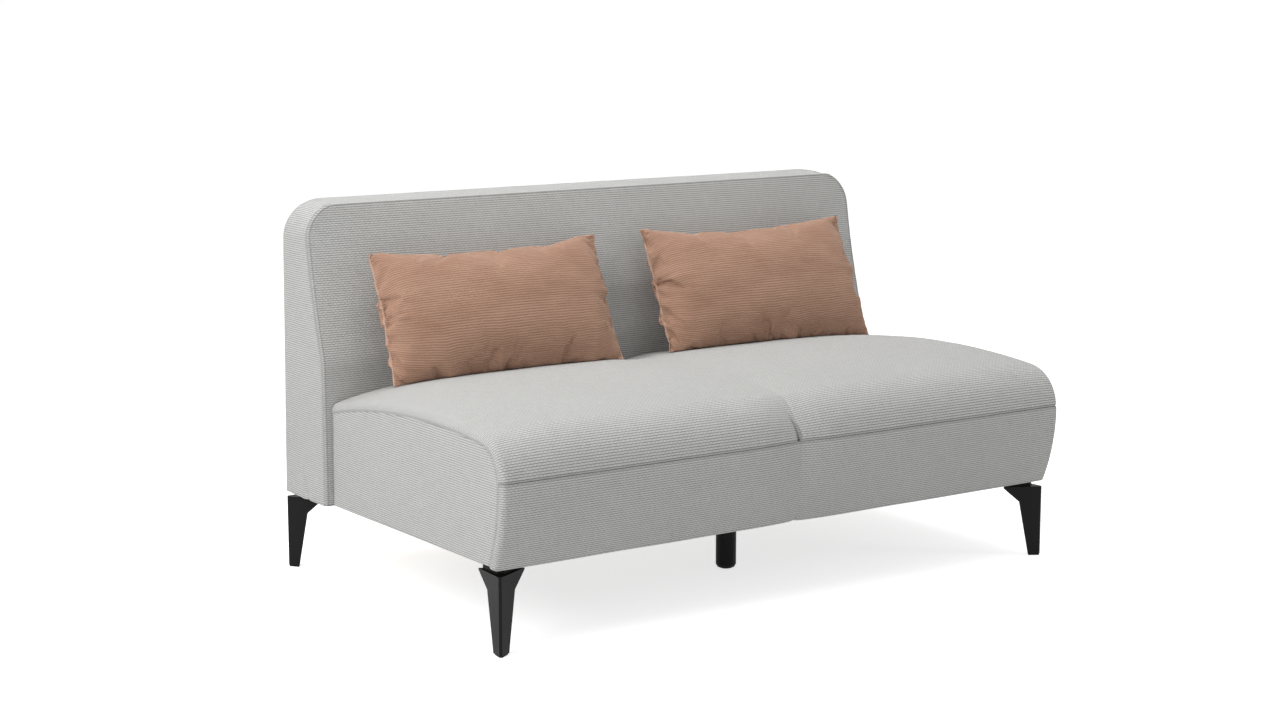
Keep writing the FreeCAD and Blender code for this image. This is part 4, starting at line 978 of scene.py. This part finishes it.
# %% Make both pillows
seeds = {"left": 3, "right": 8}
bags = {side: sew(f"bag_{side}", *cut_sheets(seed)) for side, seed in seeds.items()}
for bag in bags.values():
    gather_sides(bag)
stuffed(list(bags.values()))
pillows = []
for side, bag in bags.items():
    blown = vertices_of(bag)
    middle = (blown.max(axis=0) + blown.min(axis=0)) / 2
    size = blown.max(axis=0) - blown.min(axis=0)
    print(f"pillow_{side}: blown up to {np.round(1000 * size)} mm")
    sheets = [finer(calm(sheet), FINER) for sheet in sheets_of(blown - middle)]
    sheets = pucker(*straighten(*sheets), seeds[side])
    sheets = [lean_pillow(sheet, size, f"pillow_{side}_cover") for sheet in sheets]
    pillow = sew(f"pillow_{side}", *sheets)
    bpy.data.objects.remove(bag)
    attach(pillow, f"pillow_{side}")
    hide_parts(f"pillow_{side}_cover", f"pillow_{side}_filling")
    pillows.append(pillow)

# %% [markdown]
# Finishes are node materials. The helpers below wire a few maths nodes in one line each, so
# that every material reads as its recipe.

# %% Helpers for materials
def material(name):
    """An empty node material, its node tree and its shader."""
    made = bpy.data.materials.new(name)
    made.use_nodes = True
    return made, made.node_tree, made.node_tree.nodes["Principled BSDF"]


def settle(shader, values):
    """Set constants on the shader's own sockets."""
    for socket, value in values.items():
        shader.inputs[socket].default_value = value


def feed(tree, socket, value):
    """Link a socket to another node's output, or set it."""
    if isinstance(value, bpy.types.NodeSocket):
        tree.links.new(value, socket)
    else:
        socket.default_value = value


def maths(tree, operation, a, b=0.0, c=0.0):
    """One Math node."""
    node = tree.nodes.new("ShaderNodeMath")
    node.operation = operation
    for socket, value in zip(node.inputs, (a, b, c)):
        feed(tree, socket, value)
    return node.outputs[0]


def blend(tree, share, a, b):
    """A mix of two colours."""
    node = tree.nodes.new("ShaderNodeMix")
    node.data_type = "RGBA"
    feed(tree, node.inputs[0], share)
    feed(tree, node.inputs[6], a)
    feed(tree, node.inputs[7], b)
    return node.outputs[2]


def place_on(tree, source, scale=(1, 1, 1)):
    """Object coordinates or a named UV map, stretched per direction."""
    if source == "object":
        out = tree.nodes.new("ShaderNodeTexCoord").outputs["Object"]
    else:
        node = tree.nodes.new("ShaderNodeUVMap")
        node.uv_map = source
        out = node.outputs[0]
    mapping = tree.nodes.new("ShaderNodeMapping")
    tree.links.new(out, mapping.inputs[0])
    mapping.inputs[3].default_value = scale
    return mapping.outputs[0]


def noise(tree, vector, scale, detail=3.0, roughness=0.5):
    """Noise from about 0 to 1."""
    node = tree.nodes.new("ShaderNodeTexNoise")
    feed(tree, node.inputs["Vector"], vector)
    node.inputs["Scale"].default_value = scale
    node.inputs["Detail"].default_value = detail
    node.inputs["Roughness"].default_value = roughness
    return node.outputs[0]


def split(tree, vector):
    """The x, y and z of a vector."""
    node = tree.nodes.new("ShaderNodeSeparateXYZ")
    tree.links.new(vector, node.inputs[0])
    return node.outputs


def bump(tree, shader, height, distance, strength=1.0):
    """A bump whose height of 1 stands for a distance in metres."""
    node = tree.nodes.new("ShaderNodeBump")
    node.inputs["Strength"].default_value = strength
    node.inputs["Distance"].default_value = distance
    tree.links.new(height, node.inputs["Height"])
    tree.links.new(node.outputs[0], shader.inputs["Normal"])


# %% [markdown]
# The sofa's cloth is a light grey basket weave of slubby yarns. Pairs of yarns pass over and
# under in turn; rows of weft differ a little in lightness, and painted shade in the weave's
# valleys and in the grooves between rows reads as fine level ribs on the front and the ends.
# Along a seam the material paints the shade of its dip, and beside a stitched seam it adds the
# row of stitches.
# A picture of cloth would be simpler, but it repeats, blurs close by and has edges. A weave
# made of maths has none of that, and it follows each panel's own UV map.

# %% Basket weave and stitches
def weave(tree, u, v, pitch):
    """Height of a basket weave, and 1 in the cells whose yarns run across: in alternate cells
    two yarns run along or across, and a yarn's round back is the sine across it."""
    cell_u = maths(tree, "FLOOR", maths(tree, "DIVIDE", u, pitch))
    cell_v = maths(tree, "FLOOR", maths(tree, "DIVIDE", v, pitch))
    parity = maths(tree, "PINGPONG", maths(tree, "ADD", cell_u, cell_v), 1.0)
    angle = 2 * math.pi / pitch
    back_u = maths(tree, "ABSOLUTE", maths(tree, "SINE", maths(tree, "MULTIPLY", u, angle)))
    back_v = maths(tree, "ABSOLUTE", maths(tree, "SINE", maths(tree, "MULTIPLY", v, angle)))
    picked_u = maths(tree, "MULTIPLY", back_u, parity)
    picked_v = maths(tree, "MULTIPLY", back_v, maths(tree, "SUBTRACT", 1.0, parity))
    return maths(tree, "ADD", picked_u, picked_v), parity


def fading(tree, distance, width):
    """e to the power of minus distance / width."""
    return maths(tree, "POWER", math.e, maths(tree, "DIVIDE", distance, -width))


def stitch_row(tree, along, off_row, length, gap, width):
    """1 on the stitches of a row, given the way along it and the distance from it."""
    near = maths(tree, "LESS_THAN", off_row, width / 2)
    step = maths(tree, "FRACT", maths(tree, "DIVIDE", along, length + gap))
    return maths(tree, "MULTIPLY", near, maths(tree, "LESS_THAN", step, length / (length + gap)))


# %% The sofa's cloth
WEAVE = 0.0046           # side of a cell of two yarns
WANDER = 0.0010          # how far its yarns stray
PALE_YARN = (0.88, 0.88, 0.86, 1)
DULL_YARN = (0.62, 0.62, 0.605, 1)
VALLEY_SHADE = (0.30, 0.30, 0.29, 1)
WARP_SHADE = (0.36, 0.36, 0.35, 1)
ROW_SHADE = (0.22, 0.22, 0.213, 1)
SEAM_SHADE = (0.12, 0.12, 0.115, 1)
THREAD = (0.55, 0.55, 0.54, 1)


def sofa_cloth(name):
    """Yarns between dull and pale by a sum of noises, drawn out along rows and columns; painted
    shade darkens the weave's valleys and the lines between rows, the raised warp is toned darker,
    and painted shade darkens seams and stitched rows by e to the power of minus the distance over
    a width."""
    made, tree, shader = material(name)
    flat = place_on(tree, "cloth")
    u, v, _ = split(tree, flat)
    wander = noise(tree, flat, 60, 2)
    v_wander = maths(tree, "MULTIPLY_ADD", wander, WANDER, v)
    u_wander = maths(tree, "MULTIPLY_ADD", wander, -WANDER, u)
    height, warp_up = weave(tree, u_wander, v_wander, WEAVE)
    rib = maths(tree, "ABSOLUTE", maths(tree, "SINE",
                                        maths(tree, "MULTIPLY", v_wander, math.pi / WEAVE)))
    row_tone = noise(tree, place_on(tree, "cloth", (26, 330, 1)), 1.0, 2, 0.6)
    column_tone = noise(tree, place_on(tree, "cloth", (300, 30, 1)), 1.0, 2, 0.6)
    fleck = noise(tree, place_on(tree, "cloth", (260, 480, 1)), 1.0, 1)
    broad = noise(tree, flat, 5.0, 4)
    tone = maths(tree, "MULTIPLY_ADD", row_tone, 0.45, maths(tree, "MULTIPLY", column_tone, 0.20))
    tone = maths(tree, "MULTIPLY_ADD", fleck, 0.35, tone)
    tone = maths(tree, "MULTIPLY_ADD", maths(tree, "SUBTRACT", tone, 0.5), 1.9, 0.5)
    tone = maths(tree, "MULTIPLY_ADD", maths(tree, "SUBTRACT", broad, 0.5), 0.30, tone)
    yarns = blend(tree, tone, DULL_YARN, PALE_YARN)
    # Painted shade in the weave's valleys, between the round backs of the yarns.
    shaded = blend(tree, maths(tree, "MULTIPLY_ADD", height, 0.55, 0.45), VALLEY_SHADE, yarns)
    shaded = blend(tree, maths(tree, "MULTIPLY", warp_up, 0.26), shaded, WARP_SHADE)
    # Painted shade in the grooves between rows of weft, broken up by a noise.
    broken = maths(tree, "MULTIPLY_ADD", column_tone, 1.3, 0.35)
    between = maths(tree, "MULTIPLY", maths(tree, "SUBTRACT", 1.0, rib), broken)
    shaded = blend(tree, between, shaded, ROW_SHADE)
    along, away, _ = split(tree, place_on(tree, "seam"))
    off_row = maths(tree, "ABSOLUTE", maths(tree, "SUBTRACT", away, STITCH_ROW))
    # Painted shade: a dark line in each seam's dip and along the groove of a stitched row, fading
    # with the distance from them.
    crease = maths(tree, "MULTIPLY", fading(tree, maths(tree, "ABSOLUTE", away), 0.0013), 0.75)
    crease = maths(tree, "MULTIPLY_ADD", fading(tree, off_row, 0.0011), 0.62, crease)
    creased = blend(tree, crease, shaded, SEAM_SHADE)
    stitches = stitch_row(tree, along, off_row, length=0.0035, gap=0.0012, width=0.0008)
    feed(tree, shader.inputs["Base Color"],
         blend(tree, maths(tree, "MULTIPLY", stitches, 0.6), creased, THREAD))
    settle(shader, {"Roughness": 0.92, "Specular IOR Level": 0.25, "Sheen Weight": 0.18,
                    "Sheen Roughness": 0.5})
    relief = maths(tree, "MULTIPLY_ADD", rib, 0.6, height)
    bump(tree, shader, maths(tree, "MULTIPLY_ADD", stitches, 0.9, relief), 0.0006, 0.8)
    return made


grey_cloth = sofa_cloth("grey_cloth")

# %% [markdown]
# The pillows wear a fine corduroy. Its wales run along the pillow and its short pile shines at
# a slant, so stroked patches look lighter or darker. The wales are the sine of the height on
# the flat cloth, and the strokes a slow noise.
# Hair would be the true pile, but at this size it is a colour, a sheen and a fine relief.

# %% Corduroy
WALE = 0.0046            # width of a wale
LIGHT_PILE = (0.52, 0.322, 0.232, 1)
DARK_PILE = (0.36, 0.204, 0.138, 1)
GROOVE_SHADE = (0.19, 0.100, 0.066, 1)
SEAM_HIGHLIGHT = (0.62, 0.42, 0.34, 1)
SHEEN = (1.0, 0.86, 0.76, 1)


def pillow_cloth(name):
    """Pile between dark and light by slow strokes of painted sheen and fine streaks along the
    wales, painted shade in the grooves where a broken noise doesn't fill them, and a painted
    highlight on the seam's rolled edge."""
    made, tree, shader = material(name)
    flat = place_on(tree, "cloth")
    height = split(tree, flat)[1]
    rows = maths(tree, "MULTIPLY_ADD", noise(tree, flat, 9, 2), 0.004, height)
    wale = maths(tree, "ABSOLUTE",
                 maths(tree, "SINE", maths(tree, "MULTIPLY", rows, math.pi / WALE)))
    pile = noise(tree, flat, 900, 2)
    # Painted sheen: slow patches where the pile lies another way, lighter or darker.
    stroke = noise(tree, place_on(tree, "cloth", (1.0, 2.4, 1)), 7, 4, 0.6)
    streak = noise(tree, place_on(tree, "cloth", (14, 260, 1)), 1.0, 2)
    groove_fill = noise(tree, place_on(tree, "cloth", (180, 420, 1)), 1.0, 2)
    tone = maths(tree, "MULTIPLY_ADD", maths(tree, "SUBTRACT", stroke, 0.5), 1.5, 0.5)
    tone = maths(tree, "MULTIPLY_ADD", maths(tree, "SUBTRACT", streak, 0.5), 0.9, tone)
    # Painted shade in the wale grooves, left out in patches of a broken noise.
    filled = maths(tree, "MAXIMUM", maths(tree, "POWER", wale, 0.5),
                   maths(tree, "MULTIPLY_ADD", groove_fill, 1.1, 0.05))
    shaded = blend(tree, filled, GROOVE_SHADE, blend(tree, tone, DARK_PILE, LIGHT_PILE))
    # Painted highlight: a paler band along the seam's rolled edge.
    highlit_seam = maths(tree, "LESS_THAN", split(tree, place_on(tree, "seam"))[1], 0.0034)
    feed(tree, shader.inputs["Base Color"],
         blend(tree, maths(tree, "MULTIPLY", highlit_seam, 0.5), shaded, SEAM_HIGHLIGHT))
    settle(shader, {"Roughness": 0.85, "Specular IOR Level": 0.2, "Sheen Weight": 0.30,
                    "Sheen Roughness": 0.35, "Sheen Tint": SHEEN})
    bump(tree, shader, maths(tree, "MULTIPLY_ADD", pile, 0.3, wale), 0.0007, 0.8)
    return made


corduroy = pillow_cloth("pillow_cloth")

# %% [markdown]
# The legs are steel with a satin black powder coat: nearly even, with the coat's faint
# orange-peel and a slight change of gloss. The centre leg, glides and spacers are moulded.
# A mirror-like black would show the studio's lamps; powder coat spreads them, so the
# roughness is high and the specular level low.

# %% Blacks
def black_coat(name, tone, roughness, grain, depth):
    """A dark coat with a fine pebbled surface and smudged gloss."""
    made, tree, shader = material(name)
    smudge = noise(tree, place_on(tree, "object"), 14, 3)
    pebble = noise(tree, place_on(tree, "object"), grain, 2)
    dusty = (tone * 1.7, tone * 1.7, tone * 1.65, 1)
    feed(tree, shader.inputs["Base Color"],
         blend(tree, maths(tree, "MULTIPLY", smudge, 0.6), (tone, tone, tone, 1), dusty))
    feed(tree, shader.inputs["Roughness"], maths(tree, "MULTIPLY_ADD", smudge, 0.16, roughness))
    settle(shader, {"Specular IOR Level": 0.12})
    bump(tree, shader, pebble, depth, 0.5)
    return made


blacks = {
    "leg_paint": black_coat("leg_paint", 0.0045, 0.34, 700, 0.0002),
    "leg_plastic": black_coat("leg_plastic", 0.006, 0.38, 900, 0.0002),
    "black_plastic": black_coat("black_plastic", 0.010, 0.50, 500, 0.0003),
}

# %% [markdown]
# What the covers hide still gets its own finish, since the sofa may be taken apart: planed
# timber, plywood, webbing, felt, black lining and zinc-plated steel.
# One flat brown would hide as well under the covers, but not when a cover is taken off.

# %% Hidden finishes
def timber(name, light, dark, stretch):
    """Wood whose rings are noise drawn out along the grain."""
    made, tree, shader = material(name)
    ring = noise(tree, place_on(tree, "object", stretch), 1.0, 5, 0.62)
    fleck = noise(tree, place_on(tree, "object", tuple(9 * s for s in stretch)), 1.0, 2)
    tone = maths(tree, "MULTIPLY_ADD", fleck, 0.25, maths(tree, "MULTIPLY", ring, 0.85))
    feed(tree, shader.inputs["Base Color"], blend(tree, tone, dark, light))
    settle(shader, {"Roughness": 0.7})
    bump(tree, shader, ring, 0.0004, 0.4)
    return made


def woven(name, light, dark, pitch, roughness):
    """A plain cloth: weave relief on Object coordinates, with painted shade in the weave's
    valleys.
    """
    made, tree, shader = material(name)
    x, y, z = split(tree, place_on(tree, "object"))
    relief = weave(tree, maths(tree, "ADD", x, z), maths(tree, "ADD", y, z), pitch)[0]
    fuzz = noise(tree, place_on(tree, "object"), 260, 3)
    # Painted shade: the weave's valleys darker, the yarns' backs lighter.
    tone = maths(tree, "MULTIPLY_ADD", fuzz, 0.4, maths(tree, "MULTIPLY", relief, 0.6))
    feed(tree, shader.inputs["Base Color"], blend(tree, tone, dark, light))
    settle(shader, {"Roughness": roughness})
    bump(tree, shader, relief, 0.0003, 0.6)
    return made


def zinc(name):
    """Plated steel with brushed streaks in its gloss."""
    made, tree, shader = material(name)
    streaks = noise(tree, place_on(tree, "object", (40, 40, 900)), 1.0, 2)
    settle(shader, {"Metallic": 1.0})
    feed(tree, shader.inputs["Base Color"],
         blend(tree, streaks, (0.50, 0.50, 0.48, 1), (0.68, 0.68, 0.66, 1)))
    feed(tree, shader.inputs["Roughness"], maths(tree, "MULTIPLY_ADD", streaks, 0.2, 0.25))
    return made


finishes = {
    **blacks,
    "grey_cloth": grey_cloth,
    "pillow_cloth": corduroy,
    "timber": timber("timber", (0.62, 0.45, 0.28, 1), (0.38, 0.24, 0.13, 1), (3, 60, 60)),
    "plywood": timber("plywood", (0.66, 0.50, 0.32, 1), (0.44, 0.30, 0.18, 1), (160, 8, 12)),
    "webbing": woven("webbing", (0.42, 0.40, 0.36, 1), (0.16, 0.15, 0.14, 1), 0.0024, 0.85),
    "felt": woven("felt", (0.34, 0.33, 0.32, 1), (0.22, 0.22, 0.21, 1), 0.0016, 0.95),
    "black_cloth": woven("black_cloth", (0.035, 0.035, 0.035, 1), (0.012, 0.012, 0.012, 1),
                         0.0020, 0.8),
    "foam": woven("foam", (0.80, 0.74, 0.55, 1), (0.66, 0.60, 0.42, 1), 0.0012, 0.95),
    "filling": woven("filling", (0.85, 0.85, 0.83, 1), (0.70, 0.70, 0.69, 1), 0.0030, 0.95),
    "zinc_steel": zinc("zinc_steel"),
}
print("finishes:", len(finishes))

# %% [markdown]
# The record says which finish each CAD node takes, so one loop dresses them all. The new
# pieces wear the finish of what they stand for.
# Dressing each node by name would work too, until a node is added.

# %% Put the finishes on
def wear(piece, finish):
    """Give an object one material in place of what it had."""
    piece.data.materials.clear()
    piece.data.materials.append(finishes[finish])


for entry in frame["record"]["subparts"]:
    wear(frame["nodes"][entry["node"]], entry["material_slot"])
for piece in upholstery:
    wear(piece, "grey_cloth")
wear(lining, "black_cloth")
for pillow in pillows:
    wear(pillow, "pillow_cloth")
print("dressed:", len(frame["nodes"]), "CAD nodes,", len(upholstery) + 1 + len(pillows), "pieces")

# %% [markdown]
# The set is a pale floor and soft studio light. The photograph was lit from above and from the
# sofa's left: the seat's top and its left end are lightest, the front and the back darker. To
# the camera, and in gloss, the background is white except where the sofa shades the floor.
# More light would also whiten the floor, but it would bleach the cloth with it.

# %% Floor and world
REACH = 80.0         # so far that no view shows the floor's edge
FLOOR_GLOW = 0.72    # what the shown floor adds to the light that it reflects
FILL_LIGHT = 0.38    # the world's strength as it lights the sofa; where it shows, it is 1


def on_show(tree):
    """1 for rays that show the background: to the camera, in gloss and through glass."""
    path = tree.nodes.new("ShaderNodeLightPath").outputs
    return maths(tree, "MAXIMUM", path["Is Camera Ray"],
                 maths(tree, "MAXIMUM", path["Is Glossy Ray"], path["Is Transmission Ray"]))


floor_mesh = bpy.data.meshes.new("floor")
floor_mesh.from_pydata([(-REACH, -REACH, 0), (REACH, -REACH, 0), (REACH, REACH, 0),
                        (-REACH, REACH, 0)], [], [(0, 1, 2, 3)])
floor = bpy.data.objects.new("floor", floor_mesh)
bpy.context.scene.collection.objects.link(floor)

floor_paint, tree, shader = material("floor_paint")
settle(shader, {"Base Color": (0.80, 0.80, 0.80, 1), "Roughness": 0.9,
                "Emission Color": (1, 1, 1, 1)})
feed(tree, shader.inputs["Emission Strength"], maths(tree, "MULTIPLY", on_show(tree), FLOOR_GLOW))
floor.data.materials.append(floor_paint)

world = bpy.data.worlds.new("studio")
world.use_nodes = True
bpy.context.scene.world = world
tree = world.node_tree
background = tree.nodes["Background"]
background.inputs["Color"].default_value = (1, 1, 1, 1)
feed(tree, background.inputs["Strength"],
     maths(tree, "MULTIPLY_ADD", on_show(tree), 1 - FILL_LIGHT, FILL_LIGHT))
print("floor:", 2 * REACH, "m across")


# %% Lamps
def softbox(name, place, aim, size, power):
    """A square lamp at a place that faces a point."""
    lamp = bpy.data.objects.new(name, bpy.data.lights.new(name, "AREA"))
    lamp.data.shape = "SQUARE"
    lamp.data.size = size
    lamp.data.energy = power
    lamp.location = place
    dx, dy, dz = np.array(aim) - np.array(place)
    lamp.rotation_euler = (math.atan2(math.hypot(dx, dy), -dz), 0.0,
                           math.atan2(dy, dx) - math.pi / 2)
    bpy.context.scene.collection.objects.link(lamp)
    print(f"{name}: {power} W")


softbox("key", place=(-3.2, -0.6, 2.6), aim=(0, 0, 0.4), size=2.2, power=88)
softbox("overhead", place=(0.2, 0.3, 3.4), aim=(0, 0, 0.4), size=3.0, power=66)
softbox("right", place=(3.0, -2.4, 1.5), aim=(0, 0.1, 0.5), size=0.7, power=11)
bpy.context.scene.view_settings.view_transform = "Standard"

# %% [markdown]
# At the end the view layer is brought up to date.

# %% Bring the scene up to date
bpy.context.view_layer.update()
